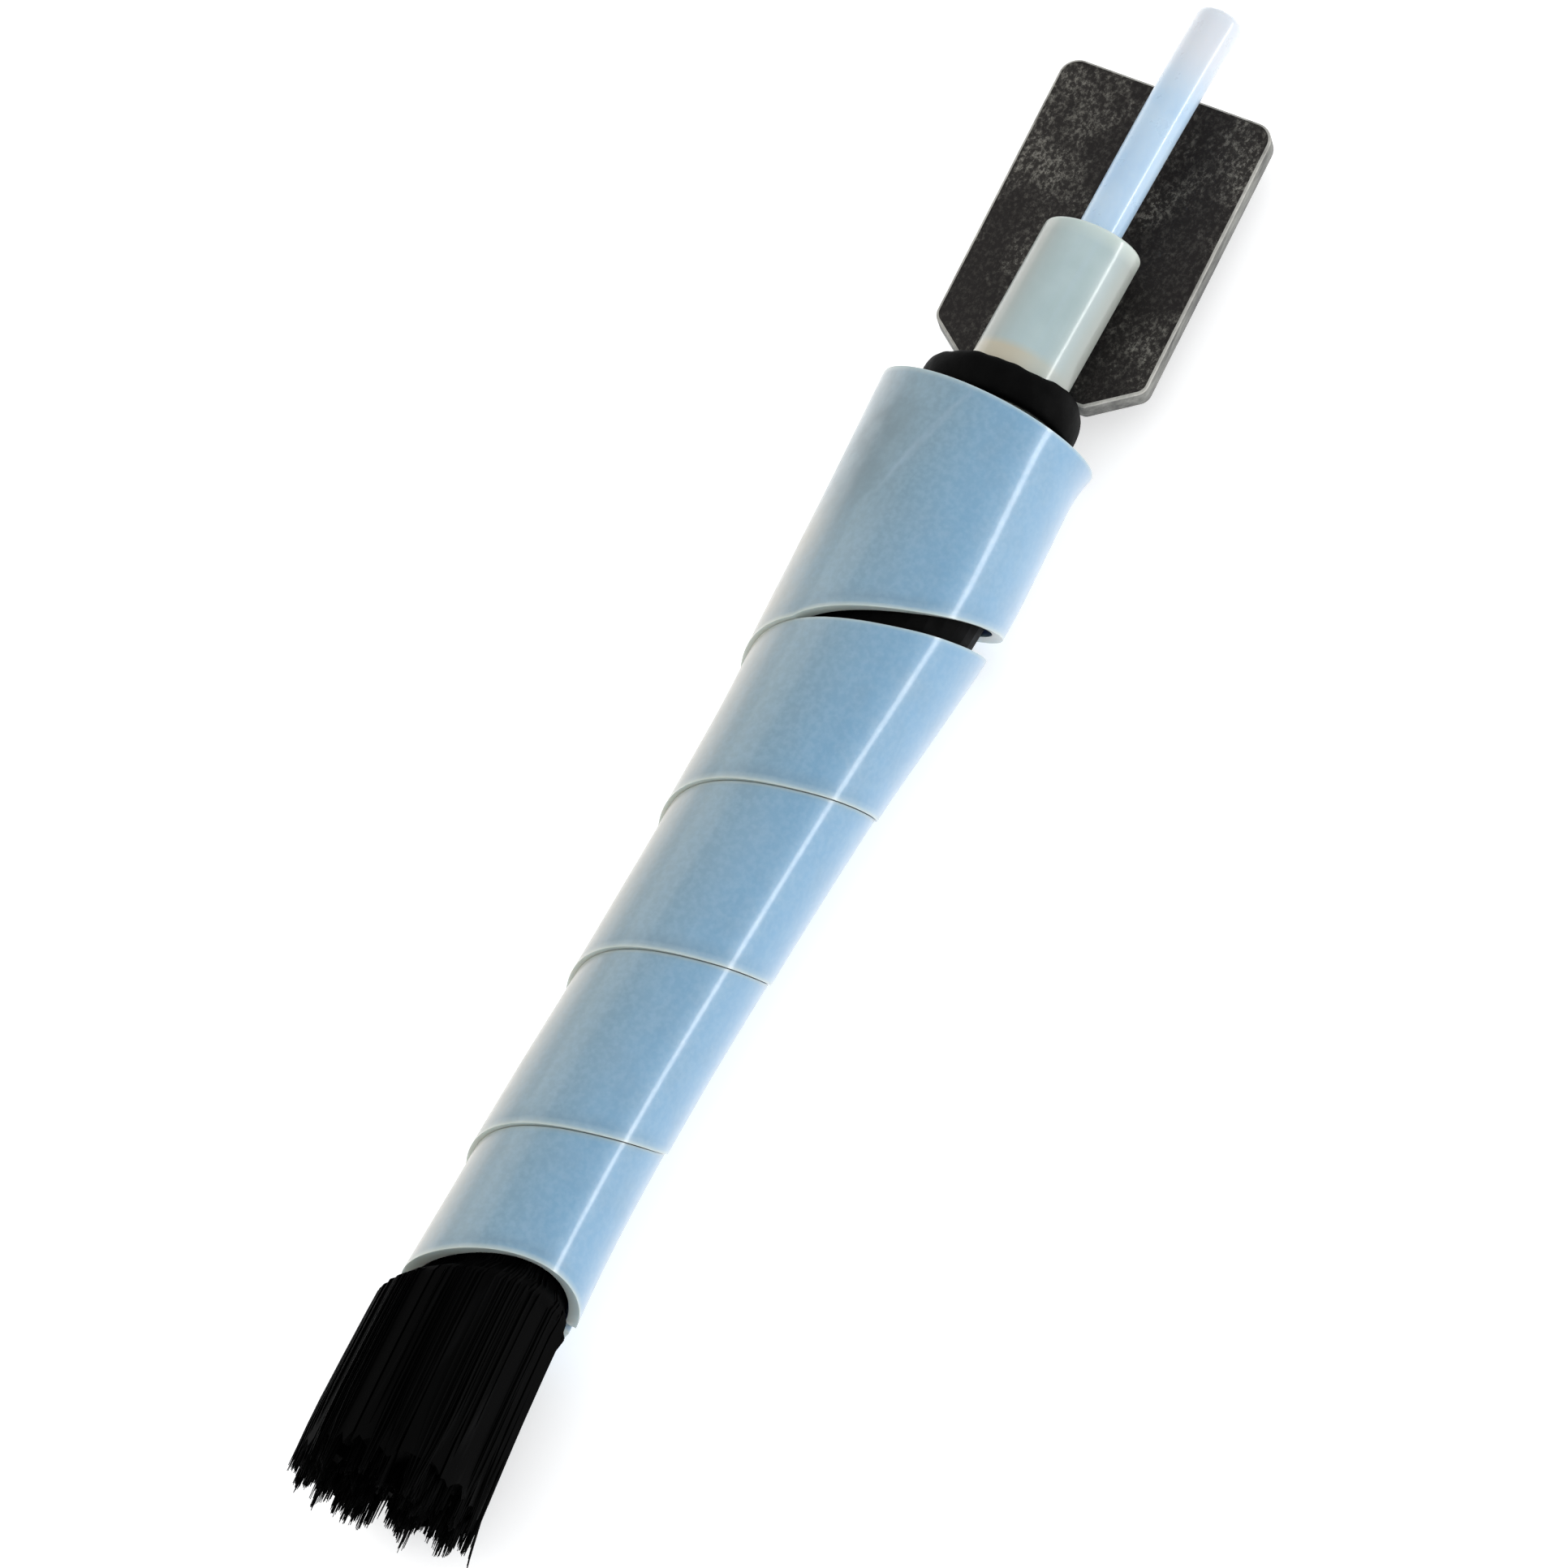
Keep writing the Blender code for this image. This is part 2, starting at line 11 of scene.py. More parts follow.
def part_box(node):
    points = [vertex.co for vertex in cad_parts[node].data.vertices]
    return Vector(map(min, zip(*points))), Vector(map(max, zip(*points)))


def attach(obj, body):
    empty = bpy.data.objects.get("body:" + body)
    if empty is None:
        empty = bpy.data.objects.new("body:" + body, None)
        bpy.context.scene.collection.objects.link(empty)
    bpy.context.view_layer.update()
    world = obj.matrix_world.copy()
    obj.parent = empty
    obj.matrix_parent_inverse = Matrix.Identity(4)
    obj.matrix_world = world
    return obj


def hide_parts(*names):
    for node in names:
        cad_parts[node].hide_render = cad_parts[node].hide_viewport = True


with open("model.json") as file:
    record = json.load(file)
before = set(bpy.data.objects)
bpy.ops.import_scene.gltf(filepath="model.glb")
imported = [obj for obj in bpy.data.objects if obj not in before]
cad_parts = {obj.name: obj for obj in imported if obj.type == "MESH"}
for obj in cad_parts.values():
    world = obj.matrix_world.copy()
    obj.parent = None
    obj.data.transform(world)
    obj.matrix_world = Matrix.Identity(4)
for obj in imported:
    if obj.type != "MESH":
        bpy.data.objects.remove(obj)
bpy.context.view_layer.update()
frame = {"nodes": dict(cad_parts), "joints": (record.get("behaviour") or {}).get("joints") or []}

MM = 0.001
RNG = np.random.default_rng(7)

# Centreline of the bundle. A station is a distance along it, measured on X. Angles about it
# count from +Y towards +Z.
HEAD_LEAN = math.radians(4.5)
BEND_STATION = 14.0 * MM
BEND_REACH = 3.0 * MM
SAG_START = -19.0 * MM
SAG_AT_TIP = 1.83 * MM

# Fibre bundle.
TUFT_TIP = -48.2 * MM
TUFT_ROOT = -35.10 * MM
BULGE_REACH = 2.0 * MM
MOUTH_RADIUS = 4.15 * MM
MOUTH_REACH = 1.8 * MM
FREE_BULGE = 1.0 * MM
TUFT_SHIFT = 0.66 * MM
SHIFT_REACH = 1.5 * MM
RIM_FOLLOW_TOP = -20.0 * MM
BUNDLE_RADIUS = 3.75 * MM
BOUND_RADIUS = 4.20 * MM
BOUND_TO = 8.0 * MM
CLAMP_FROM = 13.0 * MM
CLAMP_TO = 15.0 * MM
CLAMPED_RADIUS = 4.10 * MM
TUFT_ROOT_RADIUS = 5.12 * MM
TUFT_TIP_RADIUS = 5.50 * MM
CHANNEL_RADIUS = 0.80 * MM
CORE_RADIUS = 2.05 * MM
TOW_GAP = 0.10 * MM
CORE_TOWS = 6
OUTER_TOWS = 12
TOW_TOP = 23.7 * MM
TOW_BELOW_TANG = 15.0 * MM
BRISTLE_RADIUS = 0.085 * MM
CORE_CLUMPS, CORE_CLUMP_SIZE = 8, 12
OUTER_CLUMPS, OUTER_CLUMP_SIZE = 13, 18

# Spiral-cut wrap.
WRAP_TOP = 24.82 * MM
TOP_LEAN = 0.56 * MM
TOP_LOW_SIDE = math.radians(118)
WRAP_BOTTOM = -34.75 * MM
RIM_LEAN = 2.10 * MM
RIM_HIGH_SIDE = math.radians(138)
RIM_BOW = 0.20
WRAP_WALL = 0.70 * MM
PITCH = 11.69 * MM
PITCH_LOSS = 0.14 * MM
SEAM_GAP = 0.05 * MM
SEAM_START = -27.85 * MM
SEAM_START_ANGLE = math.radians(21)
SIDE_LEAN = 0.20 * MM
SIDE_LEAN_LOSS = 0.10 * MM
FRONT_LEAN_GROWTH = 0.36 * MM
FRONT_LEAN_LOSS = 0.045 * MM
LIFT = 0.26 * MM
LIFT_GROWTH = 0.15 * MM
LIFT_SIDE = math.radians(35)
CUT_END = math.radians(330 + 3 * 360)
WEDGE_START = math.radians(62 + 3 * 360)
WEDGE_WIDTH = 1.40 * MM
WEDGE_BLUNTNESS = 0.6
TURN_STEP = 0.22 * MM
TURN_STEP_SIDE = 0.06 * MM
STEP_FADE = math.radians(60)
STRIP_END_WIDTH = 0.5 * MM
STRIP_SEARCH_FROM = math.radians(-260)
STRIP_SEARCH_STEP = math.radians(0.5)
LIP_SIDE = math.radians(201)
LIP_FLARE = 0.42 * MM
LIP_BAND = 2.8 * MM
WRAP_STEPS = 150
WRAP_ROWS = 24
PROFILE_STATIONS = np.array([-37.0, -31.0, -26.0, -16.0, -6.0, 2.0, 8.0, 14.0, 26.0]) * MM
PROFILE_RADII = np.array([5.10, 4.88, 4.84, 4.88, 5.16, 5.52, 6.06, 6.50, 6.56]) * MM

# Head pieces, along the head's axis.
RING_FROM = 25.0 * MM
RING_TO = 27.25 * MM
RING_BORE = 4.15 * MM
RING_RADIUS = 4.90 * MM
RING_OFFSET = -0.28 * MM
RING_TURN = math.radians(3.5)
PLATE_THICKNESS = 1.50 * MM
PLATE_BACK = -3.85 * MM
PLATE_RIM = 0.16 * MM
PLATE_WIDTH = 13.7 * MM
PLATE_TOP = 49.3 * MM
PLATE_OFFSET = -0.25 * MM
PLATE_TURN = math.radians(-0.6)
SHOULDER_TOP = 31.0 * MM
NECK_STATION = 28.8 * MM
SHOULDER_INSET = 3.00 * MM
CORNER_RADIUS = 1.20 * MM
TANG_WIDTH = 2.00 * MM
TANG_END = 15.3 * MM
SLEEVE_BORE = 1.50 * MM
SLEEVE_SLANT = 0.22 * MM
FEED_INSERT = 1.00 * MM
FEED_LENGTH = 28.45 * MM
FEED_RADIUS_INNER_END = 1.20 * MM
FEED_RADIUS_OUTER_END = 1.42 * MM
FEED_BORE = 0.65 * MM
FEED_BEND = 0.16 * MM

# Camera, as a distance and angles from the object.
CAMERA_DISTANCE = 0.610
CAMERA_TILT = math.radians(16.0)
CAMERA_ROLL_ABOUT_AXIS = math.radians(20.0)
AXIS_IN_VIEW = math.radians(59.2)
TARGET_ASIDE = 0.12 * MM
FOCAL_LENGTH = 245.6
SENSOR = 36.0


X_AXIS = Vector((1, 0, 0))


# Frame geometry ----------------------------------------------------------------------------


def smooth_step(value, low, high):
    t = np.clip((value - low) / (high - low), 0.0, 1.0)
    return t * t * (3 - 2 * t)


def bell(value, middle, width):
    """1 at the middle, falling off on both sides."""
    return np.exp(-(((value - middle) / width) ** 2))


def wrapped(angle, middle):
    """An angle counted from a middle direction, between -pi and pi."""
    return (angle - middle + math.pi) % (2 * math.pi) - math.pi


def facing(angle, middle, width):
    """1 where a wall faces the middle direction, falling off beside it; both in degrees."""
    return bell(wrapped(angle, np.radians(middle)), 0.0, math.radians(width))


def head_rise(station):
    """Sideways offset of the centreline."""
    past = np.asarray(station, float) - BEND_STATION
    slope = math.tan(HEAD_LEAN)
    blend = slope * (past + BEND_REACH) ** 2 / (4 * BEND_REACH)
    return np.where(past <= -BEND_REACH, 0.0, np.where(past >= BEND_REACH, slope * past, blend))


def box_middle(node):
    low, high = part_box(node)
    return (Vector(low) + Vector(high)) / 2


def about_bend(origin):
    """The head's axis: X runs along it, with stations as on the centreline."""
    pivot = Matrix.Translation((BEND_STATION, 0, 0))
    turn = Matrix.Rotation(HEAD_LEAN, 4, "Z")
    return Matrix.Translation(origin) @ pivot @ turn @ pivot.inverted()


def frame_origin():
    """Where station 0 of the centreline lies, from the middle of the ring's box."""
    ring_middle = Vector(((RING_FROM + RING_TO) / 2, RING_OFFSET, 0))
    return box_middle("retaining_ring") - about_bend((0, 0, 0)) @ ring_middle


ORIGIN = frame_origin()


def head_frame():
    return about_bend(ORIGIN)


def turned_in_head(station, offset, turn):
    """A frame moved aside from the head's axis and turned about a station of it."""
    place = Matrix.Translation((station, offset, 0)) @ Matrix.Rotation(turn, 4, "Z")
    return head_frame() @ place @ Matrix.Translation((-station, 0, 0))


def tube_frame():
    """The axis that the sleeve and the feed tube share, from the sleeve's lower end."""
    joint = next(j for j in frame["joints"] if j["child"] == "feed_tube")
    lean = math.atan2(joint["axis"][1], joint["axis"][0])
    length = sleeve_length(lean)
    start = box_middle("tube_sleeve") - Vector((math.cos(lean), math.sin(lean), 0)) * length / 2
    return Matrix.Translation(start) @ Matrix.Rotation(lean, 4, "Z"), length


def sleeve_length(lean):
    """The sleeve's length, from its box and its outer diameter, which is its height."""
    low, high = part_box("tube_sleeve")
    return (high[0] - low[0] - (high[2] - low[2]) * math.sin(lean)) / math.cos(lean)


def centreline(station):
    """Points of the centreline, as an array."""
    station = np.asarray(station, float)
    below = np.maximum(0.0, SAG_START - station)
    sag = SAG_AT_TIP * (below / (SAG_START - TUFT_TIP)) ** 2
    return np.stack([station, head_rise(station) - sag, np.zeros_like(station)], axis=-1)


def ring_points(station, radius, angle):
    """Points at angles about the centreline, in world space."""
    step = 0.05 * MM
    along = centreline(station + step) - centreline(station - step)
    along /= np.linalg.norm(along, axis=-1, keepdims=True)
    side = np.stack([-along[..., 1], along[..., 0], np.zeros_like(along[..., 0])], axis=-1)
    up = np.array([0.0, 0.0, 1.0])
    radius = np.asarray(radius)[..., None]
    angle = np.asarray(angle)[..., None]
    around = np.cos(angle) * side + np.sin(angle) * up
    return centreline(station) + radius * around + np.array(ORIGIN)


def bundle_radius(station):
    bound = BUNDLE_RADIUS + (BOUND_RADIUS - BUNDLE_RADIUS) * smooth_step(station, 0.0, BOUND_TO)
    clamped = (CLAMPED_RADIUS - BOUND_RADIUS) * smooth_step(station, CLAMP_FROM, CLAMP_TO)
    below = TUFT_ROOT - station
    spread = below / (TUFT_ROOT - TUFT_TIP)
    flared = TUFT_ROOT_RADIUS + (TUFT_TIP_RADIUS - TUFT_ROOT_RADIUS) * spread
    mouth = (MOUTH_RADIUS - BUNDLE_RADIUS) * smooth_step(below, -MOUTH_REACH, 0.0)
    free = MOUTH_RADIUS + (flared - MOUTH_RADIUS) * smooth_step(below, 0.0, FREE_BULGE)
    return np.where(below <= 0, bound + clamped + mouth, free)


def wrap_radius(station):
    """Outer radius of the wrap: its profile, rounded off between the points."""
    spread = np.array([-2.0, -1.0, 0.0, 1.0, 2.0]) * MM
    station = np.asarray(station, float)
    sampled = np.interp(station[..., None] + spread, PROFILE_STATIONS, PROFILE_RADII)
    return sampled.mean(axis=-1)


def seam(angle):
    """Station of the helical cut; the helix leans more up the wrap, and lifts on one side."""
    turns = (angle - SEAM_START_ANGLE) / (2 * math.pi)
    side = SIDE_LEAN - SIDE_LEAN_LOSS * turns**2
    front = FRONT_LEAN_GROWTH * turns - FRONT_LEAN_LOSS * turns**2
    lean = side * np.cos(angle - SEAM_START_ANGLE) + front * np.sin(angle - SEAM_START_ANGLE)
    lift = (LIFT + LIFT_GROWTH * turns) * np.maximum(0.0, np.cos(angle - LIFT_SIDE)) ** 2
    return SEAM_START + PITCH * turns - PITCH_LOSS * turns**2 + lean + lift


def bottom_rim(angle):
    across = np.cos(angle - RIM_HIGH_SIDE)
    return WRAP_BOTTOM + RIM_LEAN * ((1 - RIM_BOW) * across + RIM_BOW * across**2)


def top_rim(angle):
    return WRAP_TOP - TOP_LEAN * math.cos(angle - TOP_LOW_SIDE)


def wedge(angle):
    """Extra opening of the last turn of the cut."""
    share = np.clip((angle - WEDGE_START) / (CUT_END - WEDGE_START), 0.0, 1.0)
    return WEDGE_WIDTH * np.sin(math.pi * share) ** WEDGE_BLUNTNESS


def turn_step(station, angle):
    """Each turn keeps nearly its own cylinder, so the radius steps out at every cut."""
    step = TURN_STEP + TURN_STEP_SIDE * math.cos(angle - SEAM_START_ANGLE)
    share = np.clip(1 - (seam(angle) - station) / PITCH, 0.0, 1.0)
    low_fade = 1 - smooth_step(angle - 2 * math.pi, CUT_END - STEP_FADE, CUT_END)
    high_fade = 1 - smooth_step(angle, CUT_END - STEP_FADE, CUT_END)
    return step / 2 * ((1 - share) * low_fade - share * high_fade)


def follow_rim(station, angle):
    """Shift a station near the wrap's lower end by the lean of its rim at that angle."""
    above = smooth_step(station, TUFT_ROOT, RIM_FOLLOW_TOP)
    below = smooth_step(station, TUFT_TIP, TUFT_ROOT - BULGE_REACH)
    return station + (bottom_rim(angle) - WRAP_BOTTOM) * (1 - above) * below


# Materials ---------------------------------------------------------------------------------


class Shader:
    """A Principled material and short ways of wiring nodes into it."""

    def __init__(self, name, **sockets):
        self.material = bpy.data.materials.new(name)
        self.material.use_nodes = True
        self.nodes = self.material.node_tree.nodes
        self.links = self.material.node_tree.links
        self.main = self.nodes["Principled BSDF"]
        for socket, value in sockets.items():
            self.main.inputs[socket.replace("_", " ")].default_value = value
        self.place = self.nodes.new("ShaderNodeTexCoord").outputs["Object"]

    def node(self, kind, inputs=(), **settings):
        made = self.nodes.new(kind)
        for key, value in settings.items():
            setattr(made, key, value)
        for socket, value in dict(inputs).items():
            if isinstance(value, bpy.types.NodeSocket):
                self.links.new(value, made.inputs[socket])
            else:
                made.inputs[socket].default_value = value
        return made

    def noise(self, scale, detail=4.0, stretch=(1, 1, 1), roughness=0.55):
        place = self.node("ShaderNodeMapping", {"Vector": self.place, "Scale": stretch}).outputs[0]
        inputs = {"Vector": place, "Scale": scale, "Detail": detail, "Roughness": roughness}
        return self.node("ShaderNodeTexNoise", inputs).outputs["Fac"]

    def ramp(self, value, low, high, first=0.0, last=1.0):
        inputs = {0: value, 1: low, 2: high, 3: first, 4: last}
        return self.node("ShaderNodeMapRange", inputs).outputs[0]

    def mix(self, amount, first, second):
        made = self.node("ShaderNodeMix", data_type="RGBA")
        for socket, value in ((0, amount), (6, first), (7, second)):
            if isinstance(value, bpy.types.NodeSocket):
                self.links.new(value, made.inputs[socket])
            else:
                made.inputs[socket].default_value = value if socket == 0 else (*value, 1.0)
        return made.outputs[2]

    def bands(self, value, stops):
        """Colours along a value, from stops of (value, colour) that run from 0 to 1."""
        made = self.node("ShaderNodeValToRGB", {0: value})
        for spot, _ in stops[1:-1]:
            made.color_ramp.elements.new(spot)
        for element, (_, colour) in zip(made.color_ramp.elements, stops):
            element.color = (*colour, 1.0)
        return made.outputs[0]

    def times(self, first, second):
        return self.node("ShaderNodeMath", {0: first, 1: second}, operation="MULTIPLY").outputs[0]

    def attribute(self, name):
        return self.node("ShaderNodeAttribute", attribute_name=name).outputs["Fac"]

    def paint(self, colour, name, tint, strength=1.0):
        """Mix a tint over a colour where a painted attribute says so."""
        return self.mix(self.times(self.attribute(name), strength), colour, tint)

    def feed(self, socket, value):
        self.links.new(value, self.main.inputs[socket])

    def bump(self, height, strength, distance):
        inputs = {"Height": height, "Strength": strength, "Distance": distance}
        self.feed("Normal", self.node("ShaderNodeBump", inputs).outputs[0])


def milky_plastic(name, scatter, transmission):
    """Translucent soft plastic with a clear, glossier skin."""
    shader = Shader(
        name,
        IOR=1.45,
        Transmission_Weight=transmission,
        Subsurface_Weight=0.5,
        Subsurface_Scale=0.0008,
        Sheen_Weight=0.10,
        Sheen_Roughness=0.4,
        Coat_Weight=0.55,
        Coat_Roughness=0.13,
        Coat_IOR=1.45,
    )
    shader.main.inputs["Subsurface Radius"].default_value = scatter
    shader.main.inputs["Sheen Tint"].default_value = (0.95, 0.92, 0.85, 1)
    return shader


def wrap_plastic():
    """Milky blue polyethylene, with painted light: its colour shifts around the tube with the side
    light falls on, with a painted beige glow where light passes it edge-on, a painted lavender
    reflection, painted shade, and painted pale highlights at its cut edges.
    """
    shader = milky_plastic("wrap_plastic", (0.6, 0.8, 1.0), 0.08)
    # Painted light: greyer and warmer on the side where the cut starts, bluer on the far side.
    stops = [
        (0.00, (0.270, 0.350, 0.400)),
        (0.15, (0.225, 0.340, 0.405)),
        (0.30, (0.180, 0.315, 0.410)),
        (0.50, (0.170, 0.335, 0.480)),
        (0.85, (0.185, 0.370, 0.555)),
        (1.00, (0.205, 0.380, 0.565)),
    ]
    colour = shader.bands(shader.attribute("around"), stops)
    cloud = shader.ramp(shader.noise(110, 3), 0.35, 0.65, 0.0, 0.15)
    colour = shader.mix(cloud, colour, (0.30, 0.44, 0.56))
    mottle = shader.ramp(shader.noise(420, 4), 0.45, 0.75, 0.0, 0.20)
    colour = shader.mix(mottle, colour, (0.22, 0.31, 0.38))
    grain = shader.ramp(shader.noise(2600, 3), 0.40, 0.65, 0.0, 0.25)
    colour = shader.mix(grain, colour, (0.32, 0.49, 0.62))
    # Darker teal-grey patches, broken up by noise, near the top of the wrap.
    patches = shader.ramp(shader.noise(260, 5), 0.35, 0.60, 0.25, 1.0)
    darker_patch = shader.times(shader.attribute("darker_patch"), patches)
    colour = shader.mix(darker_patch, colour, (0.130, 0.200, 0.235))
    # Painted light: a beige glow on the side turned towards 14 degrees, where light passes the wall
    # edge-on, and a beige patch near station 12.5 mm.
    colour = shader.paint(colour, "warm", (0.445, 0.41, 0.335), 0.90)
    # Painted reflection: a lavender-grey tint on the side turned towards 206 degrees.
    colour = shader.paint(colour, "lavender", (0.50, 0.555, 0.65), 0.65)
    colour = shader.paint(colour, "scratch", (0.36, 0.48, 0.58), 0.5)
    colour = shader.paint(colour, "shade", (0.13, 0.21, 0.27), 0.30)
    # Painted highlight: pale cream along the cut edges and the rims.
    colour = shader.paint(colour, "edge", (0.58, 0.62, 0.54), 0.70)
    shader.feed("Base Color", colour)
    shader.feed("Roughness", shader.ramp(shader.noise(700, 5), 0.3, 0.7, 0.30, 0.44))
    shader.bump(shader.noise(2400, 4), 0.05, 0.00003)
    return shader.material


def sleeve_plastic():
    """Milky grey-green tube, with painted beige light along its sides and a painted cream glow at
    its foot.
    """
    shader = milky_plastic("sleeve_plastic", (0.8, 1.0, 0.9), 0.08)
    cloud = shader.ramp(shader.noise(260, 4), 0.35, 0.65)
    colour = shader.mix(cloud, (0.38, 0.49, 0.50), (0.44, 0.55, 0.56))
    streak = shader.ramp(shader.noise(1300, 3, (0.05, 1, 1)), 0.45, 0.8, 0.0, 0.4)
    colour = shader.mix(streak, colour, (0.43, 0.55, 0.62))
    # Painted light: beige along both sides, and a cream glow at the foot where light comes through
    # the sleeve.
    colour = shader.paint(colour, "warm", (0.345, 0.36, 0.325), 0.9)
    colour = shader.paint(colour, "foot", (0.52, 0.475, 0.36), 0.95)
    # Painted highlight: pale along the upper end.
    colour = shader.paint(colour, "edge", (0.62, 0.68, 0.62), 0.7)
    shader.feed("Base Color", colour)
    shader.feed("Roughness", shader.ramp(shader.noise(900, 4), 0.3, 0.7, 0.28, 0.40))
    shader.bump(shader.noise(2600, 4, (0.3, 1, 1)), 0.05, 0.00003)
    return shader.material


def feed_plastic():
    """Milky tube: pale blue along most of its length, whiter at its open end, where painted light
    stands for the pale floor seen through it, with a painted highlight on its rim.
    """
    shader = milky_plastic("feed_plastic", (0.7, 0.9, 1.0), 0.06)
    cloud = shader.ramp(shader.noise(300, 4), 0.35, 0.65)
    colour = shader.mix(cloud, (0.42, 0.58, 0.75), (0.50, 0.64, 0.77))
    # Painted light: whiter towards the open end, and a pale highlight on its rim.
    colour = shader.paint(colour, "open", (0.67, 0.70, 0.75))
    colour = shader.paint(colour, "edge", (0.66, 0.70, 0.75), 0.6)
    shader.feed("Base Color", colour)
    shader.feed("Roughness", shader.ramp(shader.noise(900, 4), 0.3, 0.7, 0.25, 0.36))
    return shader.material


def plate_face():
    """Dark oxidised metal with a mottled grey bloom."""
    shader = Shader("plate_face", Metallic=0.1, Specular_IOR_Level=0.20)
    patch = shader.ramp(shader.noise(150, 6, roughness=0.7), 0.44, 0.60)
    speck = shader.ramp(shader.noise(3600, 6, (0.8, 1, 1), 0.85), 0.49, 0.60)
    colour = shader.mix(patch, (0.0065, 0.0045, 0.0040), (0.017, 0.0145, 0.0125))
    bloom = shader.times(speck, shader.ramp(patch, 0.0, 1.0, 0.15, 0.90))
    colour = shader.mix(bloom, colour, (0.21, 0.20, 0.175))
    shader.feed("Base Color", colour)
    shader.feed("Roughness", shader.ramp(speck, 0.0, 1.0, 0.50, 0.68))
    shader.bump(shader.noise(2600, 6), 0.25, 0.00005)
    return shader.material


def plate_edge(name, dark, light):
    """Sheared side of the plate, worn to bare grey; the lighter copy used on the rims adds a
    painted highlight to the wear.
    """
    shader = Shader(name, Metallic=0.35, Specular_IOR_Level=0.4)
    wear = shader.ramp(shader.noise(900, 7, (0.35, 1, 1), 0.7), 0.36, 0.64)
    shader.feed("Base Color", shader.mix(wear, dark, light))
    shader.feed("Roughness", shader.ramp(wear, 0.0, 1.0, 0.42, 0.60))
    shader.bump(shader.noise(2200, 6, (1, 1, 0.3)), 0.3, 0.00006)
    return shader.material


def ferrule_metal():
    shader = Shader("ferrule_metal", Metallic=0.9)
    dull = shader.ramp(shader.noise(500, 5), 0.4, 0.7)
    shader.feed("Base Color", shader.mix(dull, (0.20, 0.20, 0.19), (0.42, 0.41, 0.39)))
    shader.feed("Roughness", shader.ramp(dull, 0.0, 1.0, 0.35, 0.55))
    shader.bump(shader.noise(1600, 4, (0.1, 1, 1)), 0.15, 0.00005)
    return shader.material


def black_rubber(name, lumps):
    shader = Shader(name, Specular_IOR_Level=0.05)
    dust = shader.ramp(shader.noise(900, 5), 0.45, 0.80)
    colour = shader.mix(dust, (0.0003, 0.0003, 0.0003), (0.0016, 0.0016, 0.0016))
    shader.feed("Base Color", colour)
    shader.feed("Roughness", shader.ramp(shader.noise(700, 3), 0.3, 0.7, 0.50, 0.70))
    shader.bump(shader.noise(1100, 5), lumps, 0.0001)
    return shader.material


def carbon_fibre():
    """Black fibre with a faint sheen that runs in streaks along the tow."""
    shader = Shader("carbon_fibre", Specular_IOR_Level=0.035, Anisotropic=0.5)
    streak = shader.ramp(shader.noise(1500, 4, (0.03, 1, 1)), 0.55, 0.80)
    colour = shader.mix(streak, (0.0002, 0.0002, 0.0002), (0.0030, 0.0030, 0.0032))
    shader.feed("Base Color", colour)
    shader.feed("Roughness", shader.ramp(streak, 0.0, 1.0, 0.62, 0.48))
    shader.bump(shader.noise(3800, 3, (0.03, 1, 1)), 0.3, 0.00005)
    return shader.material


# Making pieces -----------------------------------------------------------------------------


def make_piece(name, verts, faces, materials, body, node, sharp=40):
    """A mesh piece that rides on a body and stands for a CAD node."""
    mesh = bpy.data.meshes.new(name)
    mesh.from_pydata([tuple(v) for v in verts], [], [tuple(f) for f in faces])
    builder = bmesh.new()
    builder.from_mesh(mesh)
    bmesh.ops.recalc_face_normals(builder, faces=builder.faces)
    builder.to_mesh(mesh)
    builder.free()
    return finish_piece(name, mesh, materials, body, node, sharp)


def finish_piece(name, mesh, materials, body, node, sharp):
    mesh.shade_smooth()
    mesh.set_sharp_from_angle(angle=math.radians(sharp))
    for material in materials:
        mesh.materials.append(material)
    piece = bpy.data.objects.new(name, mesh)
    bpy.context.scene.collection.objects.link(piece)
    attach(piece, body)
    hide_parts(node)
    return piece


def set_attribute(mesh, name, values):
    layer = mesh.attributes.new(name, "FLOAT", "POINT")
    layer.data.foreach_set("value", np.clip(values, 0.0, 1.0).astype(np.float32))


def round_edges(piece, width, segments, angle):
    bevel = piece.modifiers.new("edges", "BEVEL")
    bevel.width = width
    bevel.segments = segments
    bevel.limit_method = "ANGLE"
    bevel.angle_limit = math.radians(angle)


# Spiral wrap -------------------------------------------------------------------------------


class WallMesh:
    """Vertices and faces of a thin wall, built from columns of outer and inner rows."""

    def __init__(self):
        self.points = []
        self.faces = []
        self.places = []
        self.count = 0

    def column(self, low, high, angle):
        """Add one column; returns the indices of its outer and of its inner rows."""
        stations = wall_rows(low, high)
        outer = wrap_radius(stations) + turn_step(stations, angle)
        lip = np.clip(1 - (WRAP_TOP - stations) / LIP_BAND, 0.0, 1.0)
        outer = outer + LIP_FLARE * lip**2 * max(0.0, math.cos(angle - LIP_SIDE)) ** 4
        for radius in (outer, outer - WRAP_WALL):
            self.points.append(ring_points(stations, radius, np.full(WRAP_ROWS, angle)))
            for station in stations:
                self.places.append((station, angle, station - low, high - station))
        first = self.count
        self.count += 2 * WRAP_ROWS
        inner = first + WRAP_ROWS
        return list(range(first, inner)), list(range(inner, self.count))

    def join(self, left, right):
        for i in range(WRAP_ROWS - 1):
            self.faces.append((left[0][i], right[0][i], right[0][i + 1], left[0][i + 1]))
            self.faces.append((left[1][i + 1], right[1][i + 1], right[1][i], left[1][i]))
        self.faces.append((left[1][0], right[1][0], right[0][0], left[0][0]))
        self.faces.append((left[0][-1], right[0][-1], right[1][-1], left[1][-1]))

    def cap(self, column):
        outer, inner = column
        for i in range(WRAP_ROWS - 1):
            self.faces.append((outer[i], outer[i + 1], inner[i + 1], inner[i]))


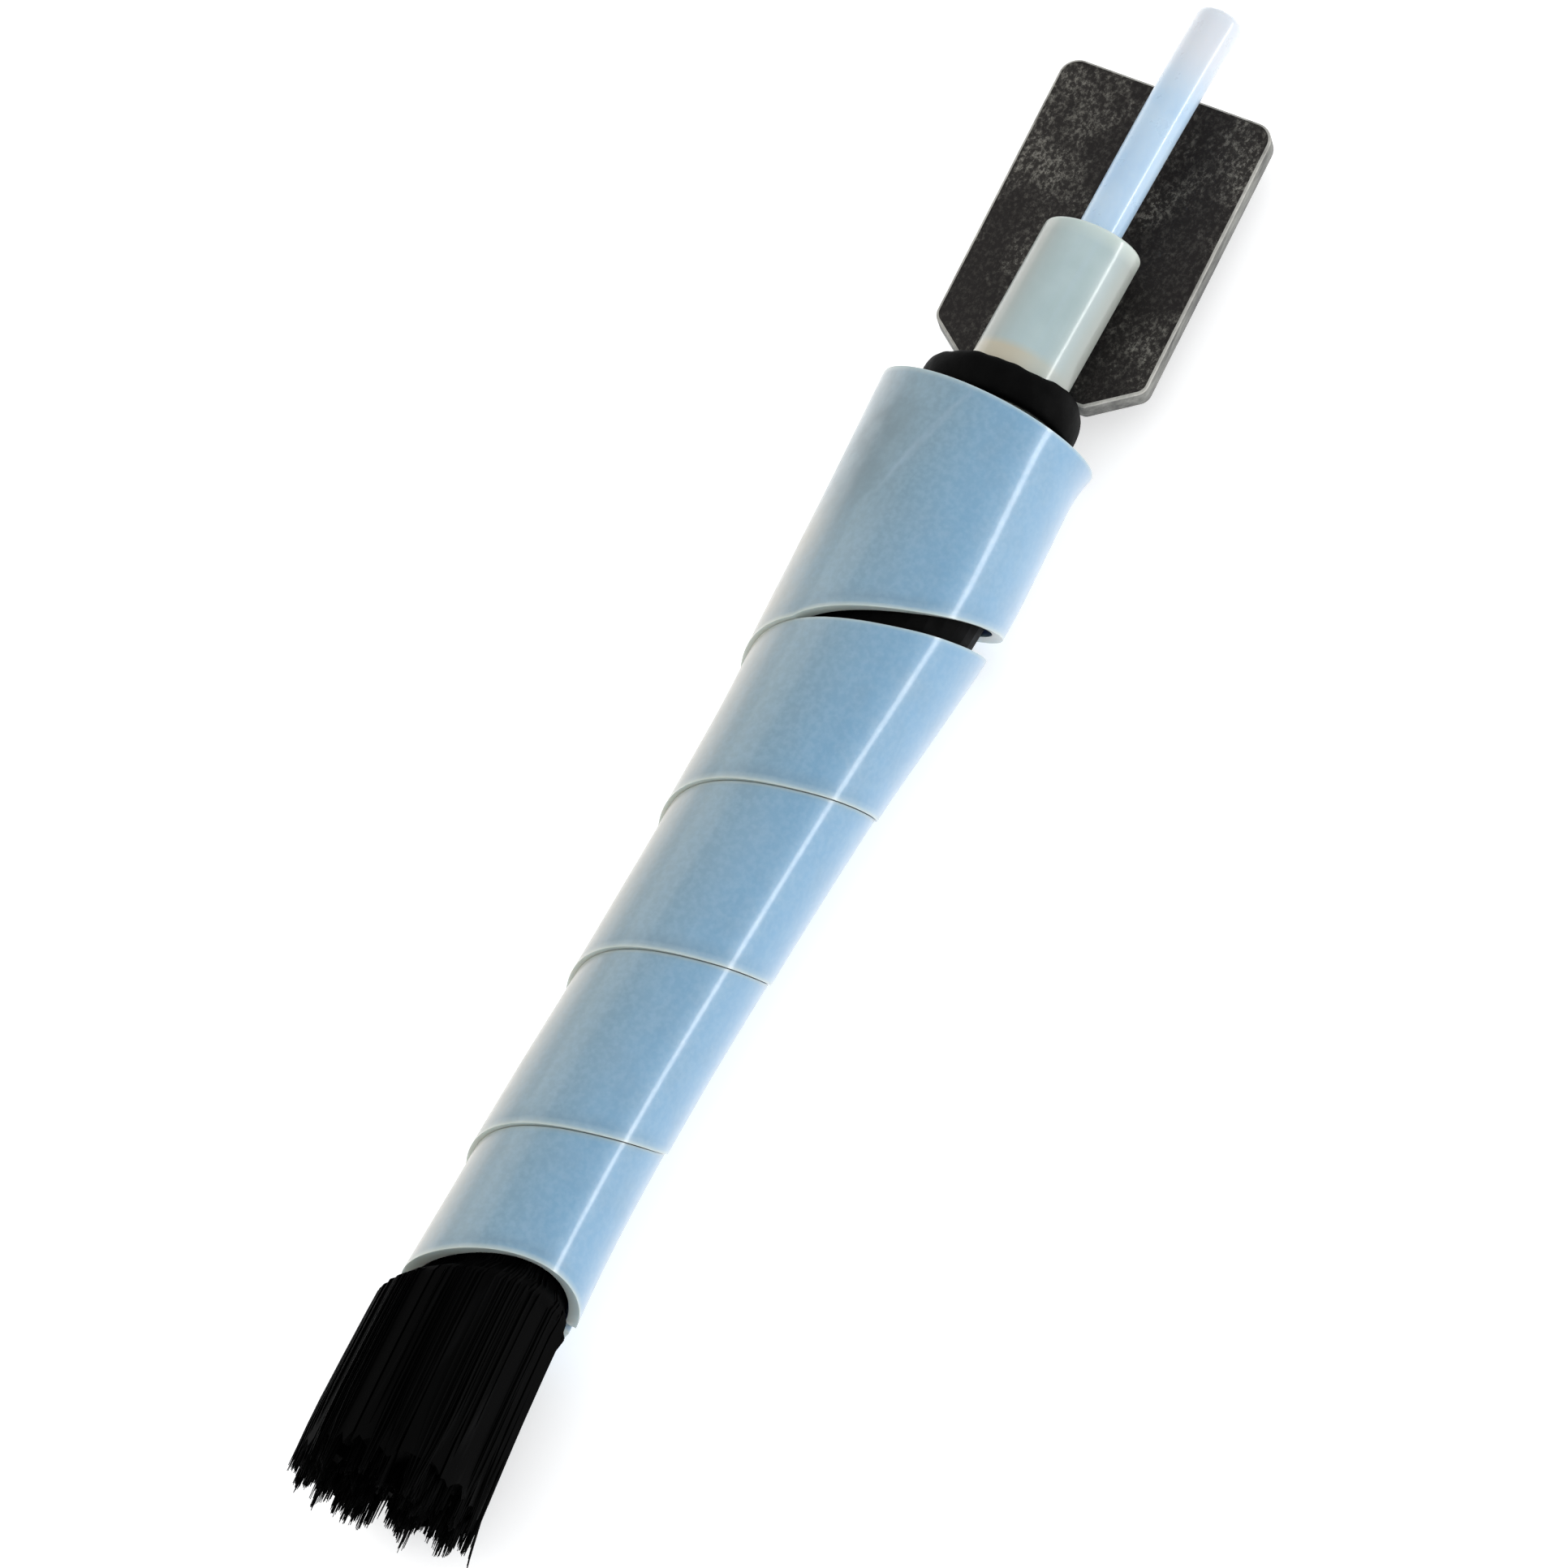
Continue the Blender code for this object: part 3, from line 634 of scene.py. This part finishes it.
def wall_rows(low, high):
    """Stations up the wall, closer together near both edges."""
    even = np.arange(WRAP_ROWS) / (WRAP_ROWS - 1)
    return low + (high - low) * (0.4 * even + 0.3 * (1 - np.cos(math.pi * even)))


def strip_low(angle):
    cut = angle - 2 * math.pi
    return max(float(seam(cut) + SEAM_GAP / 2 + wedge(cut)), float(bottom_rim(angle)))


def strip_high(angle):
    return float(seam(angle) - SEAM_GAP / 2)


def paint_wrap(mesh, places):
    """Painted attributes: painted light that shifts the colour around the tube, a painted beige
    glow, a painted lavender reflection, painted shade and painted highlights at the cut edges;
    darker patches; and where it is marked.
    """
    station, angle, above, below = np.array(places).T
    # Where each wall faces about the tube, for the painted light that shifts the wrap's colour by
    # side.
    set_attribute(mesh, "around", 0.5 - 0.5 * np.cos(angle - SEAM_START_ANGLE))
    # Painted highlight: a pale band along the lower edge of each turn and a fainter one along its
    # upper edge.
    set_attribute(mesh, "edge", bell(above, 0.0, 0.20 * MM) + 0.6 * bell(below, 0.0, 0.14 * MM))
    set_attribute(mesh, "shade", bell(above, 0.60 * MM, 0.35 * MM) * facing(angle, 100, 60))
    # Painted light: the beige glow, weaker on the collar, with a patch added to it.
    on_collar = smooth_step(station, 8.5 * MM, 11.0 * MM)
    patch = 0.7 * facing(angle, 28, 20) * bell(station, 12.5 * MM, 3.0 * MM)
    set_attribute(mesh, "warm", facing(angle, 14, 36) * (1 - 0.75 * on_collar) + patch)
    # Painted reflection: where the lavender tint goes.
    set_attribute(mesh, "lavender", facing(angle, 206, 25))
    # Where the darker teal-grey patches go.
    set_attribute(mesh, "darker_patch", facing(angle, 48, 26) * bell(station, 20.0 * MM, 6.0 * MM))
    line = 68 + 28 * (station - 15.5 * MM) / (8.8 * MM)
    set_attribute(mesh, "scratch", facing(angle, line, 1.3) * bell(station, 20.0 * MM, 4.0 * MM))


def spiral_wrap(material):
    """The tube, cut along a helix into one strip that hangs from an uncut collar."""
    wall = WallMesh()
    start = STRIP_SEARCH_FROM
    while strip_high(start) - float(bottom_rim(start)) < STRIP_END_WIDTH:
        start += STRIP_SEARCH_STEP
    steps = round((CUT_END - start) / (2 * math.pi) * WRAP_STEPS)
    strip = []
    for i in range(steps + 1):
        angle = start + (CUT_END - start) * i / steps
        strip.append(wall.column(strip_low(angle), strip_high(angle), angle))
    for left, right in zip(strip, strip[1:]):
        wall.join(left, right)
    wall.cap(strip[0])

    collar = []
    for i in range(1, WRAP_STEPS + 1):
        angle = CUT_END + 2 * math.pi * i / WRAP_STEPS
        collar.append(wall.column(strip_low(angle), top_rim(angle), angle))
    for left, right in zip(collar, collar[1:]):
        wall.join(left, right)

    # The panel where the strip runs on into the collar, below the collar's own end.
    last, closing, first = strip[-1], collar[-1], collar[0]
    wall.faces.append(last[0] + closing[0] + first[0][::-1])
    wall.faces.append((last[1] + closing[1])[::-1] + first[1])
    wall.faces.append((last[0][0], first[0][0], first[1][0], last[1][0]))
    wall.faces.append((first[0][-1], closing[0][-1], closing[1][-1], first[1][-1]))
    wall.faces.append((last[0][-1], closing[0][0], closing[1][0], last[1][-1]))

    points = np.concatenate(wall.points)
    piece = make_piece(
        "wrap_tube", points, wall.faces, [material], "wrap", "spiral_wrap", 55
    )
    paint_wrap(piece.data, wall.places)
    round_edges(piece, 0.07 * MM, 2, 60)
    return piece


# Turned pieces -----------------------------------------------------------------------------


def revolve(profile, placement, segments, reshape=None):
    """Vertices and faces of a solid of revolution about X from an outline of (x, radius)."""
    verts = []
    for i in range(segments):
        angle = i * 2 * math.pi / segments
        for x, r in profile:
            spot = Vector((x, r * math.cos(angle), r * math.sin(angle)))
            verts.append(placement @ (reshape(spot, angle) if reshape else spot))
    count = len(profile)
    faces = []
    for i in range(segments):
        j = (i + 1) % segments
        for k in range(count):
            m = (k + 1) % count
            faces.append((i * count + k, j * count + k, j * count + m, i * count + m))
    return verts, faces


def corner(x, radius, size, outward, inner):
    """Rounded corner of a tube's end, on its outer wall or, if inner, on its bore."""
    turns = [math.pi / 2 * i / 5 for i in range(6)]
    side = 1 if inner else -1
    arc = [
        (x - outward * size * (1 - math.sin(a)), radius + side * size * (1 - math.cos(a)))
        for a in turns
    ]
    return arc[::-1] if inner else arc


def tube_outline(stations, outer, bore, low_round, high_round):
    """Closed outline of a tube wall: up its outer side and back down its bore."""
    low, high = stations[0], stations[-1]
    middle = stations[4:-4]
    bore_round = 0.12 * MM
    outline = [(x, outer(x)) for x in middle]
    outline += corner(high, outer(high), high_round, 1, False)
    outline += corner(high, bore, bore_round, 1, True)
    outline += [(x, bore) for x in reversed(middle)]
    outline += corner(low, bore, bore_round, -1, True)
    outline += corner(low, outer(low), low_round, -1, False)[::-1]
    return outline


def local_places(verts, placement):
    """Distance along a tube, and angle about it, of each vertex."""
    back = placement.inverted()
    local = np.array([back @ Vector(v) for v in verts])
    return local[:, 0], np.arctan2(local[:, 2], local[:, 1])


def tube_sleeve(material, placement, length):
    """Short sleeve with a slightly slanted upper end."""
    stations = list(np.linspace(0.0, length - SLEEVE_SLANT, 50))

    def slant(spot, angle):
        share = smooth_step(spot.x, 0.8 * length, length - SLEEVE_SLANT)
        lifted = spot.x + SLEEVE_SLANT * math.cos(angle - LIP_SIDE) * float(share)
        return Vector((lifted, spot.y, spot.z))

    radius = (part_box("tube_sleeve")[1][2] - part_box("tube_sleeve")[0][2]) / 2
    outline = tube_outline(stations, lambda x: radius, SLEEVE_BORE, 0.1 * MM, 0.22 * MM)
    verts, faces = revolve(outline, placement, 120, slant)
    piece = make_piece(
        "sleeve_tube", verts, faces, [material], "brush", "tube_sleeve", 50
    )
    along, angle = local_places(verts, placement)
    # Painted light: the beige sides and the cream glow low on the sleeve.
    set_attribute(piece.data, "warm", facing(angle, 42, 27) + facing(angle, 180, 38))
    foot = 1 - smooth_step(along, 4.4 * MM, 4.9 * MM)
    set_attribute(piece.data, "foot", foot * facing(angle, 75, 63.025))
    # Painted highlight: where the upper end is pale.
    set_attribute(piece.data, "edge", bell(along, length - SLEEVE_SLANT, 0.40 * MM))
    return piece


def feed_tube(material, placement):
    """Slightly conical tube with a well-rounded open end, which bends a little."""
    end = FEED_INSERT + FEED_LENGTH
    stations = list(np.linspace(FEED_INSERT, end, 70))

    def outer(x):
        share = (x - FEED_INSERT) / FEED_LENGTH
        return FEED_RADIUS_INNER_END + (FEED_RADIUS_OUTER_END - FEED_RADIUS_INNER_END) * share

    def bend(spot, _angle):
        share = max(0.0, spot.x / end - 0.7) / 0.3
        return Vector((spot.x, spot.y - FEED_BEND * share**2, spot.z))

    outline = tube_outline(stations, outer, FEED_BORE, 0.15 * MM, 0.45 * MM)
    verts, faces = revolve(outline, placement, 96, bend)
    piece = make_piece(
        "feed_tube_wall", verts, faces, [material], "feed_tube", "feed_tube", 50
    )
    along, _ = local_places(verts, placement)
    # Painted light: where the tube whitens towards its open end and where its rim is pale.
    set_attribute(piece.data, "open", smooth_step(along, 22.5 * MM, 27.0 * MM))
    set_attribute(piece.data, "edge", bell(along, end, 0.35 * MM))
    return piece


def retaining_ring(material):
    """Rubber ring with a rounded outside, an uneven top and a bump beside the sleeve."""
    middle, half = (RING_FROM + RING_TO) / 2, (RING_TO - RING_FROM) / 2
    swell = RING_RADIUS - RING_BORE
    profile = [(RING_TO - 0.1 * MM, RING_BORE), (RING_FROM + 0.1 * MM, RING_BORE)]
    for i in range(17):
        a = math.pi * (1 - i / 16)
        reach = 0.25 + 0.75 * math.sin(a) ** 0.6
        profile.append((middle + half * math.cos(a), RING_BORE + swell * reach))

    def uneven(spot, angle):
        ripple = math.sin(5 * angle + 1) + 0.6 * math.sin(11 * angle)
        ripple += 0.4 * math.sin(23 * angle + 2)
        bump = float(facing(angle, 158, 18))
        upper = max(0.0, (spot.x - middle) / half)
        lift = (0.05 * MM * ripple + 0.22 * MM * bump) * upper
        return Vector((spot.x + lift, spot.y, spot.z))

    placement = turned_in_head(middle, RING_OFFSET, RING_TURN)
    verts, faces = revolve(profile, placement, 160, uneven)
    return make_piece(
        "ring_band", verts, faces, [material], "brush", "retaining_ring", 60
    )


# Terminal plate ----------------------------------------------------------------------------


def rounded_corners(points):
    """Outline through (x, y, radius) corners, each rounded by an arc of its radius."""
    outline = []
    count = len(points)
    for i, (x, y, radius) in enumerate(points):
        here = Vector((x, y))
        before = (Vector(points[i - 1][:2]) - here).normalized()
        after = (Vector(points[(i + 1) % count][:2]) - here).normalized()
        half = before.angle(after) / 2
        hub = here + (before + after).normalized() * radius / math.sin(half)
        first = here + before * radius / math.tan(half) - hub
        last = here + after * radius / math.tan(half) - hub
        steps = 1 if radius < 0.3 * MM else 8
        for k in range(steps + 1):
            outline.append(hub + first.lerp(last, k / steps).normalized() * radius)
    return outline


def plate_outline():
    """Outline of the terminal plate with its tang, in the plate's frame."""
    half = PLATE_WIDTH / 2
    tiny = 0.1 * MM
    left = [
        (TANG_END, TANG_WIDTH / 2, tiny),
        (NECK_STATION, TANG_WIDTH / 2, tiny),
        (NECK_STATION, half - SHOULDER_INSET, 0.5 * MM),
        (SHOULDER_TOP, half, 0.9 * MM),
        (PLATE_TOP, half, CORNER_RADIUS),
    ]
    return rounded_corners(left + [(x, -y, r) for x, y, r in reversed(left)])


def inset(outline, amount):
    """The outline moved inwards by an even amount."""
    moved = []
    for i, here in enumerate(outline):
        before = (here - outline[i - 1]).normalized()
        after = (outline[(i + 1) % len(outline)] - here).normalized()
        inwards = Vector((-before.y - after.y, before.x + after.x)).normalized()
        reach = amount / max(0.5, inwards.dot(Vector((-after.y, after.x))))
        moved.append(here + reach * inwards)
    return moved


def terminal_plate(face_material, side_material, rim_material):
    """The plate and its tang: two faces, a side all round, and a rounded rim on each face."""
    outline = plate_outline()[::-1]
    low, high = PLATE_BACK, PLATE_BACK + PLATE_THICKNESS
    eased = 0.29 * PLATE_RIM
    levels = [
        (PLATE_RIM, low),
        (eased, low + eased),
        (0, low + PLATE_RIM),
        (0, high - PLATE_RIM),
        (eased, high - eased),
        (PLATE_RIM, high),
    ]
    side_level = len(levels) // 2 - 1
    placement = turned_in_head(NECK_STATION, PLATE_OFFSET, PLATE_TURN)
    builder = bmesh.new()
    rings = []
    for amount, height in levels:
        spots = [placement @ Vector((x, y, height)) for x, y in inset(outline, amount)]
        rings.append([builder.verts.new(spot) for spot in spots])
    builder.faces.new(rings[0])
    builder.faces.new(rings[-1])
    for level, (lower, upper) in enumerate(zip(rings, rings[1:])):
        for i in range(len(outline)):
            j = (i + 1) % len(outline)
            face = builder.faces.new((lower[i], lower[j], upper[j], upper[i]))
            face.material_index = 1 if level == side_level else 2
    bmesh.ops.recalc_face_normals(builder, faces=builder.faces)
    mesh = bpy.data.meshes.new("plate_with_tang")
    builder.to_mesh(mesh)
    builder.free()
    materials = [face_material, side_material, rim_material]
    return finish_piece(
        "plate_with_tang", mesh, materials, "brush", "terminal_plate", 30
    )


# Fibre tows --------------------------------------------------------------------------------


def tow_shape(number):
    """Inner and outer share, middle angle, half angle and top station of a tow."""
    if number < CORE_TOWS:
        middle = 2 * math.pi * (number + 0.5) / CORE_TOWS
        return CHANNEL_RADIUS, CORE_RADIUS, middle, math.pi / CORE_TOWS, TOW_TOP
    middle = 2 * math.pi * (number - CORE_TOWS) / OUTER_TOWS
    half = math.pi / OUTER_TOWS
    beside_tang = abs(middle - 1.5 * math.pi) < 2.2 * half
    top = TOW_BELOW_TANG if beside_tang else TOW_TOP
    return CORE_RADIUS + TOW_GAP, BUNDLE_RADIUS, middle, half, top


def bundle_points(stations, shares, angles):
    """World points of the bundle; the shares are radii in the unspread bundle."""
    radius = shares * bundle_radius(stations) / BUNDLE_RADIUS
    aside = TUFT_SHIFT * smooth_step(TUFT_ROOT - stations, 0.0, SHIFT_REACH)
    points = ring_points(follow_rim(stations, angles), radius, angles)
    points[..., 1] += aside
    return points


def tow_core(inner, outer, middle, half, top):
    """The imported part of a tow: a sector that ends short of the bristles' tips."""
    arc = np.linspace(-1, 1, 9)
    outer_half = half - math.asin(TOW_GAP / 2 / outer)
    inner_half = half - math.asin(TOW_GAP / 2 / inner)
    angles = np.concatenate([middle + arc * outer_half, middle - arc[::2] * inner_half])
    shares = np.concatenate([np.full(9, outer - 0.05 * MM), np.full(5, inner + 0.05 * MM)])
    shares[1:8] += RNG.uniform(-0.04, 0.0, 7) * MM
    tip = TUFT_TIP + RNG.uniform(1.2, 2.0) * MM
    stations = np.concatenate([
        np.linspace(tip, TUFT_ROOT - 3.0 * MM, 8)[:-1],
        np.linspace(TUFT_ROOT - 3.0 * MM, TUFT_ROOT + MOUTH_REACH, 13)[:-1],
        np.linspace(TUFT_ROOT + MOUTH_REACH, top, 34),
    ])
    count = len(angles)
    verts, faces = [], []
    for i, station in enumerate(stations):
        spots = np.full(count, station)
        if i == 0:
            spots = spots + RNG.uniform(-0.4, 0.4, count) * MM
        verts.extend(bundle_points(spots, shares, angles))
    for i in range(len(stations) - 1):
        for k in range(count):
            m = (k + 1) % count
            faces.append((i * count + k, i * count + m, (i + 1) * count + m, (i + 1) * count + k))
    faces.append(tuple(range(count)))
    faces.append(tuple(range(len(verts) - count, len(verts))))
    return verts, faces


def bristle_paths(inner, outer, middle, half, clumps, per_clump):
    """Centre points of a tow's bristles, which gather into pointed clumps at the tip."""
    t = np.array([0.0, 0.06, 0.11, 0.15, 0.2, 0.3, 0.5, 0.7, 0.82, 0.92, 1.0])
    root = TUFT_ROOT + 1.5 * MM
    paths = []
    for _ in range(clumps):
        clump_share = math.sqrt(RNG.uniform(inner**2, outer**2))
        clump_angle = middle + RNG.uniform(-1, 1) * half * 0.94
        clump_tip = TUFT_TIP + np.clip(RNG.normal(-0.15, 0.45), -0.9, 0.9) * MM
        for _ in range(per_clump):
            share = np.clip(clump_share + RNG.normal(0, 0.24) * MM, inner, outer)
            angle = clump_angle + RNG.normal(0, 0.24 * MM) / max(share, 0.8 * MM)
            angle = np.clip(angle, middle - half * 0.97, middle + half * 0.97)
            away = abs(share - clump_share) + abs(angle - clump_angle) * share
            tip = clump_tip + 1.3 * away + abs(RNG.normal(0, 0.15)) * MM
            stations = root + (tip - root) * t
            gather = 0.5 * smooth_step(t, 0.72, 1.0)
            shares = share + (clump_share - share) * gather
            angles = angle + (clump_angle - angle) * gather
            stray = RNG.normal(0, 0.07, 2) * MM * t[:, None] ** 2
            path = bundle_points(stations, shares, angles)
            path[:, 1:] += stray
            paths.append(path)
    return paths


def stray_path(share, angle, beyond, lean):
    """One loose bristle that ends beyond the tuft."""
    t = np.linspace(0.0, 1.0, 9)
    stations = TUFT_ROOT - 6.0 * MM + (TUFT_TIP - beyond - TUFT_ROOT + 6.0 * MM) * t
    path = bundle_points(stations, np.full(9, share), np.full(9, angle))
    path[:, 1] += lean * t**2
    return path


def bristle_mesh(paths, width, first_index):
    """Three-sided tapered tubes along the paths."""
    verts, faces = [], []
    index = first_index
    for path in paths:
        count = len(path)
        along = np.gradient(path, axis=0)
        along /= np.linalg.norm(along, axis=1, keepdims=True)
        side = np.cross(along, [0.3, 0.5, 0.8])
        side /= np.linalg.norm(side, axis=1, keepdims=True)
        other = np.cross(along, side)
        taper = np.interp(np.linspace(0, 1, count), [0, 0.75, 1.0], [1.0, 0.85, 0.3])[:, None]
        size = width * RNG.uniform(0.75, 1.25) * taper
        for k in range(3):
            a = 2 * math.pi * k / 3
            verts.append(path + size * (math.cos(a) * side + math.sin(a) * other))
        for i in range(count - 1):
            for k in range(3):
                m = (k + 1) % 3
                faces.append((
                    index + k * count + i, index + m * count + i,
                    index + m * count + i + 1, index + k * count + i + 1,
                ))
        faces.append((index, index + count, index + 2 * count))
        faces.append((index + 3 * count - 1, index + 2 * count - 1, index + count - 1))
        index += 3 * count
    return np.concatenate(verts), faces


def fibre_tow(number, material):
    inner, outer, middle, half, top = tow_shape(number)
    verts, faces = tow_core(inner, outer, middle, half, top)
    clumps, per_clump = OUTER_CLUMPS, OUTER_CLUMP_SIZE
    if number < CORE_TOWS:
        clumps, per_clump = CORE_CLUMPS, CORE_CLUMP_SIZE
    paths = bristle_paths(inner, outer, middle, half, clumps, per_clump)
    if abs(wrapped(middle, LIP_SIDE)) < half:
        for beyond in (1.1, 0.7, 0.3):
            lean = -(0.3 + 0.3 * beyond) * MM
            paths.append(stray_path(BUNDLE_RADIUS, middle + 0.04 * beyond, beyond * MM, lean))
    hair_verts, hair_faces = bristle_mesh(paths, BRISTLE_RADIUS, len(verts))
    all_verts = list(verts) + list(hair_verts)
    name = f"tow_fibres_{number + 1:02d}"
    node = f"carbon_tow_{number + 1:02d}"
    return make_piece(
        name, all_verts, faces + hair_faces, [material], "brush", node, 45
    )


# Stage -------------------------------------------------------------------------------------


def floor():
    half = 3.0
    mesh = bpy.data.meshes.new("floor")
    corners = [(-half, -half, 0), (half, -half, 0), (half, half, 0), (-half, half, 0)]
    mesh.from_pydata(corners, [], [(0, 1, 2, 3)])
    shader = Shader("floor_paint", Roughness=0.9, Specular_IOR_Level=0.1, Emission_Strength=0.45)
    shader.main.inputs["Emission Color"].default_value = (1, 1, 1, 1)
    colour = shader.mix(shader.noise(3, 2), (0.88, 0.88, 0.88), (0.90, 0.90, 0.90))
    shader.feed("Base Color", colour)
    mesh.materials.append(shader.material)
    surface = bpy.data.objects.new("floor", mesh)
    bpy.context.scene.collection.objects.link(surface)


def area_light(name, offset, length, width, power, colour):
    """A rectangular light that faces the object's origin, its length along X."""
    data = bpy.data.lights.new(name, "AREA")
    data.shape = "RECTANGLE"
    data.size = length
    data.size_y = width
    data.energy = power
    data.color = colour
    lamp = bpy.data.objects.new(name, data)
    back = offset.normalized()
    along = (X_AXIS - back * X_AXIS.dot(back)).normalized()
    turn = Matrix((along, back.cross(along), back)).transposed().to_4x4()
    lamp.matrix_world = Matrix.Translation(ORIGIN + offset) @ turn
    bpy.context.scene.collection.objects.link(lamp)


def camera_side():
    """Unit vector square to X, on the side of the object that the camera sees."""
    return Vector((0, -math.sin(CAMERA_ROLL_ABOUT_AXIS), math.cos(CAMERA_ROLL_ABOUT_AXIS)))


def view_axes():
    """Unit vectors towards the camera, along the axis in view, and across it."""
    towards = -math.sin(CAMERA_TILT) * X_AXIS + math.cos(CAMERA_TILT) * camera_side()
    along = (X_AXIS - towards * towards.x).normalized()
    return towards, along, along.cross(towards)


def camera():
    towards, along, across = view_axes()
    right = math.cos(AXIS_IN_VIEW) * along + math.sin(AXIS_IN_VIEW) * across
    up = math.sin(AXIS_IN_VIEW) * along - math.cos(AXIS_IN_VIEW) * across
    data = bpy.data.cameras.new("camera")
    data.lens = FOCAL_LENGTH
    data.sensor_width = SENSOR
    data.clip_start = 0.01
    data.clip_end = 20
    eye = bpy.data.objects.new("camera", data)
    turn = Matrix((right, up, towards)).transposed().to_4x4()
    target = ORIGIN - TARGET_ASIDE * across
    eye.matrix_world = Matrix.Translation(target + CAMERA_DISTANCE * towards) @ turn
    bpy.context.scene.collection.objects.link(eye)
    bpy.context.scene.camera = eye


def mirrored(turned):
    """Direction in which a round wall mirrors the camera, where it is turned this far across."""
    across = view_axes()[2]
    around = math.cos(2 * turned) * camera_side() + math.sin(2 * turned) * across
    return math.sin(CAMERA_TILT) * X_AXIS + math.cos(CAMERA_TILT) * around


def lights():
    towards, _, across = view_axes()
    white = (1.0, 1.0, 1.0)
    warm = (1.0, 0.95, 0.88)
    area_light("overhead", Vector((0.1, 0.05, 0.7)), length=1.1, width=1.1, power=1.7, colour=white)
    streak = 0.45 * mirrored(math.radians(30))
    area_light("streak", streak, length=0.34, width=0.045, power=0.8, colour=white)
    left = 0.5 * (0.35 * towards - 0.9 * across)
    area_light("fill", left, length=0.4, width=0.3, power=0.45, colour=warm)
    world = bpy.data.worlds.new("studio")
    world.use_nodes = True
    world.node_tree.nodes["Background"].inputs["Color"].default_value = (0.96, 0.98, 1.0, 1)
    world.node_tree.nodes["Background"].inputs["Strength"].default_value = 0.71
    bpy.context.scene.world = world


def recoat(node, material):
    """Give a CAD node that keeps its own mesh a finished material."""
    materials = frame["nodes"][node].data.materials
    materials.clear()
    materials.append(material)


def build():
    spiral_wrap(wrap_plastic())
    fibre = carbon_fibre()
    for number in range(CORE_TOWS + OUTER_TOWS):
        fibre_tow(number, fibre)
    retaining_ring(black_rubber("ring_rubber", 0.35))
    terminal_plate(
        plate_face(),
        plate_edge("plate_side", (0.035, 0.035, 0.033), (0.26, 0.26, 0.24)),
        # The rims take a lighter copy of the worn grey: wear and a painted highlight along each
        # rounded rim.
        plate_edge("plate_rim_wear_and_highlight", (0.20, 0.195, 0.18), (0.52, 0.51, 0.47)),
    )
    placement, length = tube_frame()
    tube_sleeve(sleeve_plastic(), placement, length)
    feed_tube(feed_plastic(), placement)
    recoat("crimp_ferrule", ferrule_metal())
    recoat("binding_sleeve", black_rubber("shrink_tube", 0.10))
    sealant = black_rubber("sealant", 0.6)
    recoat("seal_bead_left", sealant)
    recoat("seal_bead_right", sealant)


bpy.context.scene.view_settings.view_transform = "Standard"
camera()
lights()
floor()
build()
